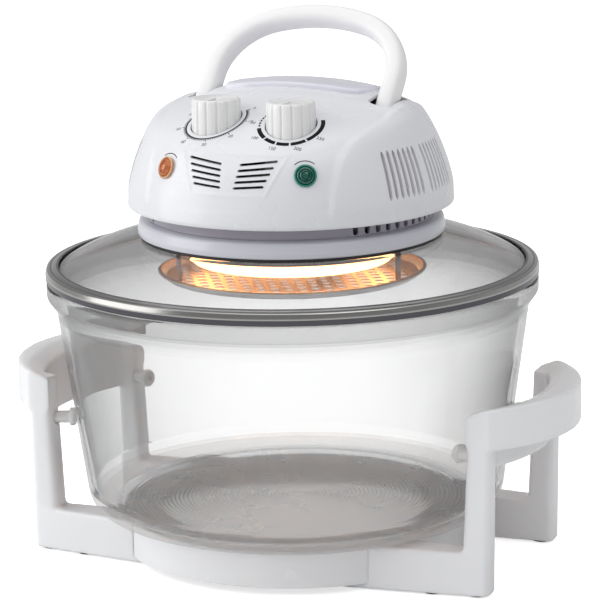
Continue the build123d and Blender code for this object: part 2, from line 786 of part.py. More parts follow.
with BuildPart() as deck_screws:
    rod(deck_screw_radius, skirt_bottom, deck_top, deck_screw_spots)
    rod(deck_screw_head, deck_top, deck_top + deck_screw_head_height, deck_screw_spots)
    with BuildSketch(Plane.XY.offset(deck_top + 0.8)):
        with Locations(*deck_screw_spots):
            RegularPolygon(1.4, 6)
    extrude(amount=1, mode=Mode.SUBTRACT)
deck_screws.part.label = "deck_screws"
export_step(deck_screws.part, "parts/deck_screws.step")

with BuildPart() as housing_screws:
    rod(deck_screw_radius, deck_height, deck_height + housing_screw_length, housing_screw_spots)
    rod(deck_screw_head, deck_height - deck_screw_head_height, deck_height, housing_screw_spots)
    with BuildSketch(Plane.XY.offset(deck_height - deck_screw_head_height)):
        with Locations(*housing_screw_spots):
            RegularPolygon(1.4, 6)
    extrude(amount=1, mode=Mode.SUBTRACT)
housing_screws.part.label = "housing_screws"
export_step(housing_screws.part, "parts/housing_screws.step")

# ------------------------------------------------------------------ head: fan motor
motor_stack = (deck_height + 13, deck_height + 31)
rotor_radius = 12.5
rotor_gap = 0.6
motor_half_width = 24.0
motor_half_depth = 20.0
coil_leg = 8.0  # width of the iron that carries the coil
coil_leg_end = 42.0
stud_spots = [(5 - motor_half_width, 0.0), (motor_half_width - 5, 0.0)]
stud_radius = 2.0
bracket_sheet = 1.2
lower_bracket = motor_stack[0] - 4
upper_bracket = motor_stack[1] + 4
bush_radius = 5.0
hub_bore = motor_shaft_radius
fan_plate = deck_height - 12  # top of the fan's disc
fan_bottom = fan_plate - 11
cooling_fan_height = upper_bracket + 11  # middle of the blades
fan_hub_radius = 8.0

with BuildPart() as motor_stator:
    wide = (-motor_half_width, motor_half_width)
    block(wide, (-motor_half_depth, motor_half_depth), motor_stack)
    for x_range in (
        (-motor_half_width, coil_leg - motor_half_width),
        (motor_half_width - coil_leg, motor_half_width),
    ):
        block(x_range, (motor_half_depth - 1, coil_leg_end), motor_stack)
    block(wide, (coil_leg_end - coil_leg, coil_leg_end), motor_stack)
    rod(rotor_radius + rotor_gap, motor_stack[0], motor_stack[1], mode=Mode.SUBTRACT)
    rod(stud_radius, motor_stack[0], motor_stack[1], stud_spots, Mode.SUBTRACT)
    for side in (-1, 1):
        slit = (side * 8 - 1, side * 8 + 1)
        block(slit, (2 - motor_half_depth, motor_half_depth - 2), motor_stack, Mode.SUBTRACT)
        block(slit, (-9, 9), motor_stack)
    rod(rotor_radius + rotor_gap, motor_stack[0], motor_stack[1], mode=Mode.SUBTRACT)
motor_stator.part.label = "motor_stator"
export_step(motor_stator.part, "parts/motor_stator.step")

with BuildPart() as motor_coil:
    coil_x = (2 + coil_leg - motor_half_width, motor_half_width - coil_leg - 2)
    coil_y = (coil_leg_end - coil_leg - 5, coil_leg_end + 5)
    block(coil_x, coil_y, (motor_stack[0] - 4, motor_stack[1] + 4))
    block(coil_x, (coil_leg_end - coil_leg, coil_leg_end), motor_stack, Mode.SUBTRACT)
    fillet(motor_coil.edges().filter_by(Axis.X).group_by(Axis.Z)[0], 3)
    fillet(motor_coil.edges().filter_by(Axis.X).group_by(Axis.Z)[-1], 3)
motor_coil.part.label = "motor_coil"
export_step(motor_coil.part, "parts/motor_coil.step")


def motor_bracket(height):
    """Bearing strap across the motor at one height."""
    with BuildPart() as strap:
        block(
            (-motor_half_width - 1, motor_half_width + 1),
            (-bush_radius - 2, bush_radius + 2),
            (height, height + bracket_sheet),
        )
        rod(bush_radius, height, height + bracket_sheet, mode=Mode.SUBTRACT)
        rod(stud_radius, height, height + bracket_sheet, stud_spots, Mode.SUBTRACT)
    return strap.part


with BuildPart() as motor_bracket_lower:
    add(motor_bracket(lower_bracket))
motor_bracket_lower.part.label = "motor_bracket_lower"
export_step(motor_bracket_lower.part, "parts/motor_bracket_lower.step")

with BuildPart() as motor_bracket_upper:
    add(motor_bracket(upper_bracket))
motor_bracket_upper.part.label = "motor_bracket_upper"
export_step(motor_bracket_upper.part, "parts/motor_bracket_upper.step")

with BuildPart() as motor_bushes:
    for height in (lower_bracket, upper_bracket):
        rod(bush_radius, height - 1.5, height + bracket_sheet + 1.0)
        rod(
            motor_shaft_radius + pin_clearance,
            height - 1.5,
            height + bracket_sheet + 1.0,
            mode=Mode.SUBTRACT,
        )
motor_bushes.part.label = "motor_bushes"
export_step(motor_bushes.part, "parts/motor_bushes.step")

with BuildPart() as motor_posts:
    rod(stud_radius + 2, deck_top, lower_bracket, stud_spots)
    rod(stud_radius, lower_bracket, upper_bracket + 4, stud_spots)
    rod(stud_radius + 1.5, lower_bracket + bracket_sheet, motor_stack[0], stud_spots)
    rod(stud_radius + 1.5, motor_stack[1], upper_bracket, stud_spots)
    rod(stud_radius + 1.8, upper_bracket + bracket_sheet, upper_bracket + 3, stud_spots)
motor_posts.part.label = "motor_posts"
export_step(motor_posts.part, "parts/motor_posts.step")

# ------------------------------------------------------------------ rotor
with BuildPart() as motor_rotor:
    rod(rotor_radius, motor_stack[0] + 0.5, motor_stack[1] - 0.5)
    rod(motor_shaft_radius, motor_stack[0], motor_stack[1], mode=Mode.SUBTRACT)
motor_rotor.part.label = "motor_rotor"
export_step(motor_rotor.part, "parts/motor_rotor.step")

with BuildPart() as motor_shaft:
    rod(motor_shaft_radius, fan_bottom - 2, cooling_fan_height + 9)
    chamfer(motor_shaft.edges().filter_by(GeomType.CIRCLE), 0.5)
motor_shaft.part.label = "motor_shaft"
export_step(motor_shaft.part, "parts/motor_shaft.step")

with BuildPart() as convection_fan:
    rod(fan_radius, fan_plate - 1, fan_plate)
    rod(fan_hub_radius, fan_bottom, fan_plate)
    with BuildSketch(Plane.XY.offset(fan_bottom + 1)):
        with PolarLocations(fan_radius / 2 + 2, 12):
            Rectangle(fan_radius - fan_hub_radius, 1.2)
    extrude(amount=fan_plate - fan_bottom - 1.5)
    rod(hub_bore, fan_bottom, fan_plate, mode=Mode.SUBTRACT)
convection_fan.part.label = "convection_fan"
export_step(convection_fan.part, "parts/convection_fan.step")

with BuildPart() as cooling_fan:
    rod(fan_hub_radius, cooling_fan_height - 5, cooling_fan_height + 5)
    blade_root = fan_hub_radius - 1
    for x, y in polar_points(1, range(0, 360, 60)):
        blade_plane = Plane(
            origin=(blade_root * x, blade_root * y, cooling_fan_height),
            x_dir=(-y, x, 0),
            z_dir=(x, y, 0),
        )
        with BuildSketch(blade_plane):
            Rectangle(15, 1.2, rotation=28)
        extrude(amount=cooling_fan_radius - blade_root)
    rod(hub_bore, cooling_fan_height - 6, cooling_fan_height + 6, mode=Mode.SUBTRACT)
cooling_fan.part.label = "cooling_fan"
export_step(cooling_fan.part, "parts/cooling_fan.step")

# ------------------------------------------------------------------ controls
body_half_depth = 13.0
body_y = (knob_y - body_half_depth, knob_y + body_half_depth)
timer_x = (-knob_x - 18, -knob_x + 18)
timer_z = (control_plate_height - 26, control_plate_height)
thermostat_x = (knob_x - 14, knob_x + 14)
thermostat_z = (control_plate_height - 22, control_plate_height)
plate_half_width = knob_x + 20.5
plate_y = (knob_y - 16, knob_y + 18)
leg_y = (knob_y - 5, knob_y + 7)
bell_rim = (15.0, timer_z[0] - 15)
bell_sheet = 1.2
shaft_bore = shaft_radius + pin_clearance

with BuildPart() as control_plate:
    plate_top = control_plate_height + control_sheet
    block((-plate_half_width, plate_half_width), plate_y, (control_plate_height, plate_top))
    for x in (-plate_half_width, plate_half_width - control_sheet):
        block((x, x + control_sheet), leg_y, (deck_top, control_plate_height))
    rod(shaft_radius + shaft_clearance, control_plate_height, plate_top, well_spots, Mode.SUBTRACT)
control_plate.part.label = "control_plate"
export_step(control_plate.part, "parts/control_plate.step")

with BuildPart() as timer_body:
    block(timer_x, body_y, timer_z)
    rod(shaft_bore, shaft_bottom - touch_gap, timer_z[1], well_spots[:1], Mode.SUBTRACT)
timer_body.part.label = "timer_body"
export_step(timer_body.part, "parts/timer_body.step")

with BuildPart() as timer_bell:
    rod(2, bell_rim[1] + 2, timer_z[0], well_spots[:1])
    with BuildSketch(Plane.XZ) as bell_section:
        with BuildLine():
            bell = ThreePointArc((0, timer_z[0] - 2), (10.6, timer_z[0] - 5.8), bell_rim)
            rim = Polyline(bell @ 1, (bell_rim[0] - bell_sheet, bell_rim[1]))
            inner_bell = ThreePointArc(rim @ 1, (9.8, timer_z[0] - 6.7), (0, timer_z[0] - 2 - bell_sheet))
            Line(inner_bell @ 1, bell @ 0)
        make_face()
    bell_cup = revolve(bell_section.sketch, axis=Axis.Z, mode=Mode.PRIVATE)
    add(Pos(-knob_x, knob_y, 0) * bell_cup)
timer_bell.part.label = "timer_bell"
export_step(timer_bell.part, "parts/timer_bell.step")

with BuildPart() as thermostat_body:
    block(thermostat_x, body_y, thermostat_z)
    rod(shaft_bore, shaft_bottom - touch_gap, thermostat_z[1], well_spots[1:], Mode.SUBTRACT)
thermostat_body.part.label = "thermostat_body"
export_step(thermostat_body.part, "parts/thermostat_body.step")

with BuildPart() as thermostat_bulb:
    rod(1, holder_bottom - 1, thermostat_z[0], bulb_spot)
    rod(bulb_radius, heater_height - 7, holder_bottom, bulb_spot)
thermostat_bulb.part.label = "thermostat_bulb"
export_step(thermostat_bulb.part, "parts/thermostat_bulb.step")


def knob(x, y):
    """Fluted knob with a hollow skirt, a socket for its shaft and a pointer rib on top."""
    with BuildPart() as shell:
        rod(knob_radius, knob_bottom, knob_top - 1.5, [(x, y)])
        fillet(shell.edges().group_by(Axis.Z)[-1], 1.5)
        with BuildSketch(Plane.XY.offset(knob_bottom)):
            with Locations((x, y)):
                with PolarLocations(knob_radius + 0.3, knob_flutes):
                    Circle(1.1)
        extrude(amount=knob_top - 5 - knob_bottom, mode=Mode.SUBTRACT)
        rod(knob_radius - 2 * knob_wall, knob_bottom, knob_top - 4, [(x, y)], Mode.SUBTRACT)
        rod(shaft_radius + knob_wall, knob_bottom + 1, knob_top - 3, [(x, y)])
        rod(shaft_radius, knob_bottom + 1, knob_top - 5, [(x, y)], Mode.SUBTRACT)
        block((x - 1.2, x + 1.2), (y - knob_radius + 2, y - 2), (knob_top - 2, knob_top))
    return shell.part


with BuildPart() as timer_knob:
    add(knob(*well_spots[0]))
timer_knob.part.label = "timer_knob"
export_step(timer_knob.part, "parts/timer_knob.step")

with BuildPart() as timer_shaft:
    rod(shaft_radius, shaft_bottom, knob_top - 5, well_spots[:1])
timer_shaft.part.label = "timer_shaft"
export_step(timer_shaft.part, "parts/timer_shaft.step")

with BuildPart() as thermostat_knob:
    add(knob(*well_spots[1]))
thermostat_knob.part.label = "thermostat_knob"
export_step(thermostat_knob.part, "parts/thermostat_knob.step")

with BuildPart() as thermostat_shaft:
    rod(shaft_radius, shaft_bottom, knob_top - 5, well_spots[1:])
thermostat_shaft.part.label = "thermostat_shaft"
export_step(thermostat_shaft.part, "parts/thermostat_shaft.step")


def lamp(plane):
    """Lens with its flange, set in the front of the housing."""
    with BuildPart() as lens:
        with BuildSketch(plane):
            Circle(lamp_lens_radius)
        extrude(amount=lamp_length)
        with BuildSketch(plane.offset(-lamp_length)):
            Circle(lamp_lens_radius)
        extrude(amount=lamp_length)
        with BuildSketch(plane.offset(0.6)):
            Circle(lamp_flange_radius)
        extrude(amount=1.4)
    return lens.part


with BuildPart() as heat_lamp:
    add(lamp(lamp_planes[0]))
heat_lamp.part.label = "heat_lamp"
export_step(heat_lamp.part, "parts/heat_lamp.step")

with BuildPart() as power_lamp:
    add(lamp(lamp_planes[1]))
power_lamp.part.label = "power_lamp"
export_step(power_lamp.part, "parts/power_lamp.step")

with BuildPart() as lamp_bodies:
    for plane in lamp_planes:
        with BuildSketch(plane.offset(-4 * lamp_length)):
            Circle(lamp_lens_radius - 0.8)
        extrude(amount=3 * lamp_length)
lamp_bodies.part.label = "lamp_bodies"
export_step(lamp_bodies.part, "parts/lamp_bodies.step")

with BuildPart() as thermal_cutout:
    rod(9, deck_top, deck_top + 5, [(44, 32)])
    rod(6, deck_top + 5, deck_top + 8, [(44, 32)])
    block((43, 45), (18, 46), (deck_top + 3, deck_top + 4))
thermal_cutout.part.label = "thermal_cutout"
export_step(thermal_cutout.part, "parts/thermal_cutout.step")

with BuildPart() as terminal_block:
    block((-15, 15), (64, 78), (deck_top, deck_top + 14))
    for x in (-10, 0, 10):
        block((x - 3.5, x + 3.5), (63, 79), (deck_top + 4, deck_top + 9), Mode.SUBTRACT)
        rod(2, deck_top + 9, deck_top + 15, [(x, 71)], Mode.SUBTRACT)
terminal_block.part.label = "terminal_block"
export_step(terminal_block.part, "parts/terminal_block.step")

with BuildPart() as cord_gland:
    gland_end = dome_radius + 3
    with BuildSketch(Plane.XZ.offset(-gland_end)):
        with Locations((0, cord_entry_height)):
            Circle(cord_hole_radius + 3)
    extrude(amount=cord_gland_length)
    with BuildSketch(Plane.XZ.offset(-gland_end + 1)):
        with Locations((0, cord_entry_height)):
            Circle(cord_hole_radius + 5)
    extrude(amount=2)
    with BuildSketch(Plane.XZ.offset(-gland_end)):
        with Locations((0, cord_entry_height)):
            Circle(cord_hole_radius)
    extrude(amount=cord_gland_length, mode=Mode.SUBTRACT)
cord_gland.part.label = "cord_gland"
export_step(cord_gland.part, "parts/cord_gland.step")

# ------------------------------------------------------------------ carry handle and its switch
lean = radians(handle_lean)
handle_plane = Plane(
    origin=(0, pivot_y, pivot_z),
    x_dir=(1, 0, 0),
    z_dir=(0, -cos(lean), sin(lean)),
)
side_lean = handle_half_span - handle_corner
top_centre = handle_rise - handle_top_radius
leg_length = top_centre + sqrt((handle_top_radius - handle_corner) ** 2 - side_lean**2)
corner_x = handle_half_span - handle_corner
join_scale = handle_top_radius / (handle_top_radius - handle_corner)
join = (corner_x * join_scale, top_centre + (leg_length - top_centre) * join_scale)
bisect = atan2(join[1] - leg_length, join[0] - corner_x) / 2
elbow = (corner_x + handle_corner * cos(bisect), leg_length + handle_corner * sin(bisect))
hub_length = handle_bar_width
cheek_gap = hub_length / 2 + 2
cheek_sheet = 2.0
cheek_x = (
    handle_half_span - cheek_gap - cheek_sheet,
    handle_half_span - cheek_gap,
    handle_half_span + cheek_gap,
    handle_half_span + cheek_gap + cheek_sheet,
)
lug_y = (pivot_y + 4.0, pivot_y + 16.0)
lug_z = (pivot_z - 2.0, pivot_z + 4.0)
switch_y = pivot_y + 12
switch_top = pivot_z - 12
bracket_floor = pivot_z - 31
bracket_y = (pivot_y - 9.5, pivot_y + 22.5)
cheek_y = (pivot_y - 9.5, pivot_y + 9.5)

with BuildPart() as carry_handle:
    with BuildLine(handle_plane) as arch:
        left_leg = Line((-handle_half_span, 0), (-handle_half_span, leg_length))
        left_corner = ThreePointArc(left_leg @ 1, (-elbow[0], elbow[1]), (-join[0], join[1]))
        top = ThreePointArc(left_corner @ 1, (0, handle_rise), join)
        right_corner = ThreePointArc(top @ 1, elbow, (handle_half_span, leg_length))
        Line(right_corner @ 1, (handle_half_span, 0))
    with BuildSketch(Plane(origin=arch.line @ 0, x_dir=(1, 0, 0), z_dir=arch.line % 0)) as bar:
        RectangleRounded(handle_bar_width, handle_bar_depth, handle_bar_round)
    sweep()
    for side in (-1, 1):
        with Locations(Plane(origin=(side * handle_half_span, pivot_y, pivot_z), z_dir=(1, 0, 0))):
            Cylinder(hub_radius, hub_length)
            Cylinder(pin_radius + pin_clearance, hub_length + 2, mode=Mode.SUBTRACT)
    block((handle_half_span - 4, handle_half_span + 4), lug_y, lug_z)
    with Locations(Plane(origin=(handle_half_span, pivot_y, pivot_z), z_dir=(1, 0, 0))):
        Cylinder(pin_radius + pin_clearance, hub_length + 2, mode=Mode.SUBTRACT)
carry_handle.part.label = "carry_handle"
export_step(carry_handle.part, "parts/carry_handle.step")


def handle_bracket(side):
    """Two cheeks on legs that carry one hub pin of the handle."""
    with BuildPart() as bracket:
        for near, far in (cheek_x[:2], cheek_x[2:]):
            x_range = sorted((side * near, side * far))
            block(x_range, bracket_y, (deck_top, bracket_floor))
            block(x_range, cheek_y, (bracket_floor - 1, pivot_z + 5))
        x_range = sorted((side * cheek_x[0], side * cheek_x[3]))
        block(x_range, bracket_y, (bracket_floor, bracket_floor + 1.5))
        with Locations(Plane(origin=(side * handle_half_span, pivot_y, pivot_z), z_dir=(1, 0, 0))):
            Cylinder(pin_radius, 30, mode=Mode.SUBTRACT)
    return bracket.part


with BuildPart() as handle_bracket_right:
    add(handle_bracket(1))
handle_bracket_right.part.label = "handle_bracket_right"
export_step(handle_bracket_right.part, "parts/handle_bracket_right.step")

with BuildPart() as handle_bracket_left:
    add(handle_bracket(-1))
handle_bracket_left.part.label = "handle_bracket_left"
export_step(handle_bracket_left.part, "parts/handle_bracket_left.step")

with BuildPart() as handle_pins:
    for side in (-1, 1):
        with Locations(Plane(origin=(side * handle_half_span, pivot_y, pivot_z), z_dir=(1, 0, 0))):
            Cylinder(pin_radius, cheek_x[3] - cheek_x[0])
handle_pins.part.label = "handle_pins"
export_step(handle_pins.part, "parts/handle_pins.step")

plunger_radius = 1.5
with BuildPart() as safety_switch:
    block(
        (handle_half_span - 5, handle_half_span + 5),
        (switch_y - 9, switch_y + 9),
        (bracket_floor + 1.5, switch_top),
    )
    rod(
        plunger_radius + pin_clearance,
        switch_top - 12,
        switch_top,
        [(handle_half_span, switch_y)],
        Mode.SUBTRACT,
    )
safety_switch.part.label = "safety_switch"
export_step(safety_switch.part, "parts/safety_switch.step")

with BuildPart() as switch_plunger:
    rod(plunger_radius, switch_top - 11, lug_z[0] - touch_gap, [(handle_half_span, switch_y)])
switch_plunger.part.label = "switch_plunger"
export_step(switch_plunger.part, "parts/switch_plunger.step")
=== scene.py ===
"""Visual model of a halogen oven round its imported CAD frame.

Sizes are in millimetres, and angles in degrees from the front, counted towards +X.
"""

from math import atan2, cos, hypot, pi, radians, sin, sqrt

import bmesh
import bpy
import numpy as np
from mathutils import Matrix, Vector
from mathutils.bvhtree import BVHTree


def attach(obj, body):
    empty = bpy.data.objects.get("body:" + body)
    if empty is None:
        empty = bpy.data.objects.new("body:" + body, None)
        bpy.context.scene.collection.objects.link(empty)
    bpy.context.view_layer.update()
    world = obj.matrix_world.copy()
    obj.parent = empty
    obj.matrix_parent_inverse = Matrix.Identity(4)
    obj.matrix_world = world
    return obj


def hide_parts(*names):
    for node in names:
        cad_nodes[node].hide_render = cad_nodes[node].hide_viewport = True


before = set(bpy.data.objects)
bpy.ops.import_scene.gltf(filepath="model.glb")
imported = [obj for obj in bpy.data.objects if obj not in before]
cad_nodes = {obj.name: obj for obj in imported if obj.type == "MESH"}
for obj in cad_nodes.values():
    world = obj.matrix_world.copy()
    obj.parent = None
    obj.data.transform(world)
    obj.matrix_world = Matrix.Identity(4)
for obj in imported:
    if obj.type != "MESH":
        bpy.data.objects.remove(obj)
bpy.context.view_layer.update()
MM = 0.001
X_DIR, Y_DIR, Z_DIR = Vector((1, 0, 0)), Vector((0, 1, 0)), Vector((0, 0, 1))


# ------------------------------------------------------------------ mesh helpers
def upright_axes(x=0.0, y=0.0, z=0.0):
    """A point with the object's own three directions."""
    return Vector((x, y, z)), X_DIR, Y_DIR, Z_DIR


def arc(start, middle, end, count=24):
    """Points on the circle through three points."""
    (ax, ay), (bx, by), (cx, cy) = start, middle, end
    d = 2 * (ax * (by - cy) + bx * (cy - ay) + cx * (ay - by))
    ux = ((ax**2 + ay**2) * (by - cy) + (bx**2 + by**2) * (cy - ay) + (cx**2 + cy**2) * (ay - by)) / d
    uy = ((ax**2 + ay**2) * (cx - bx) + (bx**2 + by**2) * (ax - cx) + (cx**2 + cy**2) * (bx - ax)) / d
    first = atan2(ay - uy, ax - ux)
    turn = (atan2(cy - uy, cx - ux) - first) % (2 * pi)
    via = (atan2(by - uy, bx - ux) - first) % (2 * pi)
    if via > turn:
        turn -= 2 * pi
    radius = hypot(ax - ux, ay - uy)
    angles = [first + turn * i / count for i in range(count + 1)]
    return [(ux + radius * cos(a), uy + radius * sin(a)) for a in angles]


def rounded(corners, steps=6):
    """Closed outline with rounded corners; a corner is (u, v) or (u, v, radius)."""
    lead = 0.12  # extra points beside an arc keep its shading smooth, at this share of its radius
    points = []
    for i, corner in enumerate(corners):
        here = Vector(corner[:2])
        if len(corner) == 2:
            points.append(tuple(here))
            continue
        before = (Vector(corners[i - 1][:2]) - here).normalized()
        after = (Vector(corners[(i + 1) % len(corners)][:2]) - here).normalized()
        radius = corner[2]
        half = before.angle(after) / 2
        reach = radius / np.tan(half)
        middle = here + (before + after).normalized() * radius / sin(half)
        first, last = here + before * reach, here + after * reach
        swing = (last - middle).angle_signed(first - middle)
        points.append(tuple(first + before * lead * radius))
        for k in range(steps + 1):
            turn = Matrix.Rotation(swing * k / steps, 2)
            points.append(tuple(middle + turn @ (first - middle)))
        points.append(tuple(last + after * lead * radius))
    return points


def capsule(width, length, steps=6):
    """Upright slot outline with round ends."""
    r, h = width / 2, (length - width) / 2
    top = [(r * cos(a), h + r * sin(a)) for a in np.linspace(0, pi, steps + 1)]
    return top + [(-u, -v) for u, v in top]


def lathe(section, turns=192, axes=upright_axes()):
    """Points and faces of a closed section, as (radius, height) points, turned about the third axis."""
    origin, across, along, axis = axes
    points, rings = [], []
    for r, h in section:
        if abs(r) < 1e-6:
            rings.append([len(points)] * turns)
            points.append(origin + axis * h)
            continue
        rings.append(range(len(points), len(points) + turns))
        for k in range(turns):
            a = 2 * pi * k / turns
            points.append(origin + (across * cos(a) + along * sin(a)) * r + axis * h)
    faces = []
    count = len(section)
    for i in range(count):
        low, high = rings[i], rings[(i + 1) % count]
        for k in range(turns):
            m = (k + 1) % turns
            face = list(dict.fromkeys((low[k], low[m], high[m], high[k])))
            if len(face) > 2:
                faces.append(face)
    return points, faces


def loft(loops, closed_ends=True):
    """Points and faces through loops with equal numbers of points."""
    size = len(loops[0])
    points = [Vector(p) for loop in loops for p in loop]
    faces = []
    for i in range(len(loops) - 1):
        for k in range(size):
            m = (k + 1) % size
            faces.append([i * size + k, i * size + m, (i + 1) * size + m, (i + 1) * size + k])
    if closed_ends:
        faces.append(list(range(size))[::-1])
        faces.append([(len(loops) - 1) * size + k for k in range(size)])
    return points, faces


def prism(outline, axes, near, far):
    """Points and faces of an outline pushed along the third of three axes."""
    origin, u, v, w = axes
    return loft([[origin + u * a + v * b + w * h for a, b in outline] for h in (near, far)])


def merged(shapes):
    """Several shapes as one set of points and faces."""
    points, faces = [], []
    for some_points, some_faces in shapes:
        start = len(points)
        points.extend(some_points)
        faces.extend([[i + start for i in face] for face in some_faces])
    return points, faces


def make(name, shape):
    """Object from points in millimetres and faces, with its normals turned outwards."""
    mesh = bpy.data.meshes.new(name)
    mesh.from_pydata([Vector(p) * MM for p in shape[0]], [], shape[1])
    work = bmesh.new()
    work.from_mesh(mesh)
    bmesh.ops.recalc_face_normals(work, faces=work.faces)
    work.to_mesh(mesh)
    work.free()
    obj = bpy.data.objects.new(name, mesh)
    bpy.context.scene.collection.objects.link(obj)
    return obj


def bake(obj):
    """Gives an object the mesh that its modifiers make."""
    view = bpy.context.evaluated_depsgraph_get()
    mesh = bpy.data.meshes.new_from_object(obj.evaluated_get(view))
    obj.modifiers.clear()
    obj.data = mesh


def combine(obj, operation, *shapes):
    """Adds shapes to an object or cuts them from it, and keeps only the result."""
    tools = []
    for shape in shapes:
        tool = make("tool", shape)
        modifier = obj.modifiers.new("tool", "BOOLEAN")
        modifier.operation = operation
        modifier.solver = "MANIFOLD"
        modifier.object = tool
        tools.append(tool)
    bake(obj)
    for tool in tools:
        bpy.data.objects.remove(tool)


def dress(obj, body, slot, material, *replaced, sharp=38):
    """Smooth shading, material and body of a finished piece, and hides the CAD nodes that it stands for; the
    slot is not used.
    """
    obj.data.shade_smooth()
    obj.data.set_sharp_from_angle(angle=radians(sharp))
    obj.data.materials.clear()
    obj.data.materials.append(material)
    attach(obj, body)
    if replaced:
        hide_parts(*replaced)


def paint(obj, material, chosen):
    """Gives a second material to the faces whose centre, in millimetres, is chosen."""
    obj.data.materials.append(material)
    for face in obj.data.polygons:
        if chosen(face.center / MM):
            face.material_index = len(obj.data.materials) - 1


def polar(radius, angle, height=0.0):
    """Point at an angle from the front, counted towards +X."""
    return Vector((radius * sin(radians(angle)), -radius * cos(radians(angle)), height))


def outward_axes(angle, origin):
    """Axes at a point: sideways, up, and straight out at an angle from the front."""
    out = polar(1, angle)
    return origin, Vector((-out.y, out.x, 0)), Z_DIR, out


# ------------------------------------------------------------------ materials
def material(name, colour, roughness, grain=(420, 0.012), tint=0.03, turned=False, **sockets):
    """Procedural finish: fine surface texture, uneven gloss and slight colour variation.

    The grain is the texture's scale and its depth in millimetres; the tint is the variation's share.
    """
    mat = bpy.data.materials.new(name)
    mat.use_nodes = True
    tree = mat.node_tree
    shader = tree.nodes["Principled BSDF"]
    for socket, value in sockets.items():
        shader.inputs[socket.replace("_", " ")].default_value = value
    coordinates = tree.nodes.new("ShaderNodeTexCoord").outputs["Object"]
    fine_coordinates = turned_coordinates(tree, coordinates) if turned else coordinates
    fine = tree.nodes.new("ShaderNodeTexNoise")
    fine.inputs["Scale"].default_value = grain[0]
    fine.inputs["Detail"].default_value = 3
    tree.links.new(fine_coordinates, fine.inputs["Vector"])
    broad = tree.nodes.new("ShaderNodeTexNoise")
    broad.inputs["Scale"].default_value = 22
    broad.inputs["Detail"].default_value = 4
    tree.links.new(coordinates, broad.inputs["Vector"])
    blend = tree.nodes.new("ShaderNodeMix")
    blend.data_type = "RGBA"
    blend.inputs["A"].default_value = [c * (1 - tint) for c in colour] + [1]
    blend.inputs["B"].default_value = [min(1, c * (1 + tint)) for c in colour] + [1]
    tree.links.new(broad.outputs["Fac"], blend.inputs["Factor"])
    tree.links.new(blend.outputs["Result"], shader.inputs["Base Color"])
    gloss = tree.nodes.new("ShaderNodeMapRange")
    gloss.inputs["From Min"].default_value = 0.3
    gloss.inputs["From Max"].default_value = 0.7
    gloss.inputs["To Min"].default_value = roughness * 0.8
    gloss.inputs["To Max"].default_value = min(1, roughness * 1.25)
    tree.links.new((fine if turned else broad).outputs["Fac"], gloss.inputs["Value"])
    tree.links.new(gloss.outputs["Result"], shader.inputs["Roughness"])
    bump = tree.nodes.new("ShaderNodeBump")
    bump.inputs["Distance"].default_value = grain[1] * MM
    tree.links.new(fine.outputs["Fac"], bump.inputs["Height"])
    tree.links.new(bump.outputs["Normal"], shader.inputs["Normal"])
    return mat


def turned_coordinates(tree, coordinates):
    """Coordinates stretched round the Z axis, for brushed and spun metal."""
    parts = tree.nodes.new("ShaderNodeSeparateXYZ")
    tree.links.new(coordinates, parts.inputs[0])
    angle = tree.nodes.new("ShaderNodeMath")
    angle.operation = "ARCTAN2"
    tree.links.new(parts.outputs["Y"], angle.inputs[0])
    tree.links.new(parts.outputs["X"], angle.inputs[1])
    squeeze = tree.nodes.new("ShaderNodeMath")
    squeeze.operation = "MULTIPLY"
    squeeze.inputs[1].default_value = 0.006
    tree.links.new(angle.outputs[0], squeeze.inputs[0])
    flat = tree.nodes.new("ShaderNodeVectorMath")
    flat.operation = "MULTIPLY"
    flat.inputs[1].default_value = (1, 1, 0)
    tree.links.new(coordinates, flat.inputs[0])
    reach = tree.nodes.new("ShaderNodeVectorMath")
    reach.operation = "LENGTH"
    tree.links.new(flat.outputs["Vector"], reach.inputs[0])
    joined = tree.nodes.new("ShaderNodeCombineXYZ")
    tree.links.new(squeeze.outputs[0], joined.inputs["X"])
    tree.links.new(reach.outputs["Value"], joined.inputs["Y"])
    tree.links.new(parts.outputs["Z"], joined.inputs["Z"])
    return joined.outputs[0]


def glass(name, face, edge, ior=1.12, roughness=0.03, clear=0.95, shine=0.45):
    """Clear glass whose colour is painted grey where it is seen edge on: painted shade for the dark edges
    that a thick wall shows.
    """
    mat = material(
        name, face, roughness, grain=(60, 0.01), tint=0.01,
        Transmission_Weight=clear, IOR=ior, Coat_Weight=shine, Coat_IOR=1.5, Coat_Roughness=0.02,
    )
    tree = mat.node_tree
    shader = tree.nodes["Principled BSDF"]
    face_colour = shader.inputs["Base Color"].links[0].from_socket
    layer = tree.nodes.new("ShaderNodeLayerWeight")
    layer.inputs["Blend"].default_value = 0.5
    curve = tree.nodes.new("ShaderNodeMath")
    curve.operation = "POWER"
    curve.inputs[1].default_value = 1.45
    tree.links.new(layer.outputs["Facing"], curve.inputs[0])
    # painted shade: the colour turns to the edge grey as the surface is seen more edge on
    painted_edge_shade = tree.nodes.new("ShaderNodeMix")
    painted_edge_shade.data_type = "RGBA"
    painted_edge_shade.inputs["B"].default_value = (*edge, 1)
    tree.links.new(curve.outputs[0], painted_edge_shade.inputs["Factor"])
    tree.links.new(face_colour, painted_edge_shade.inputs["A"])
    tree.links.new(painted_edge_shade.outputs["Result"], shader.inputs["Base Color"])
    return mat
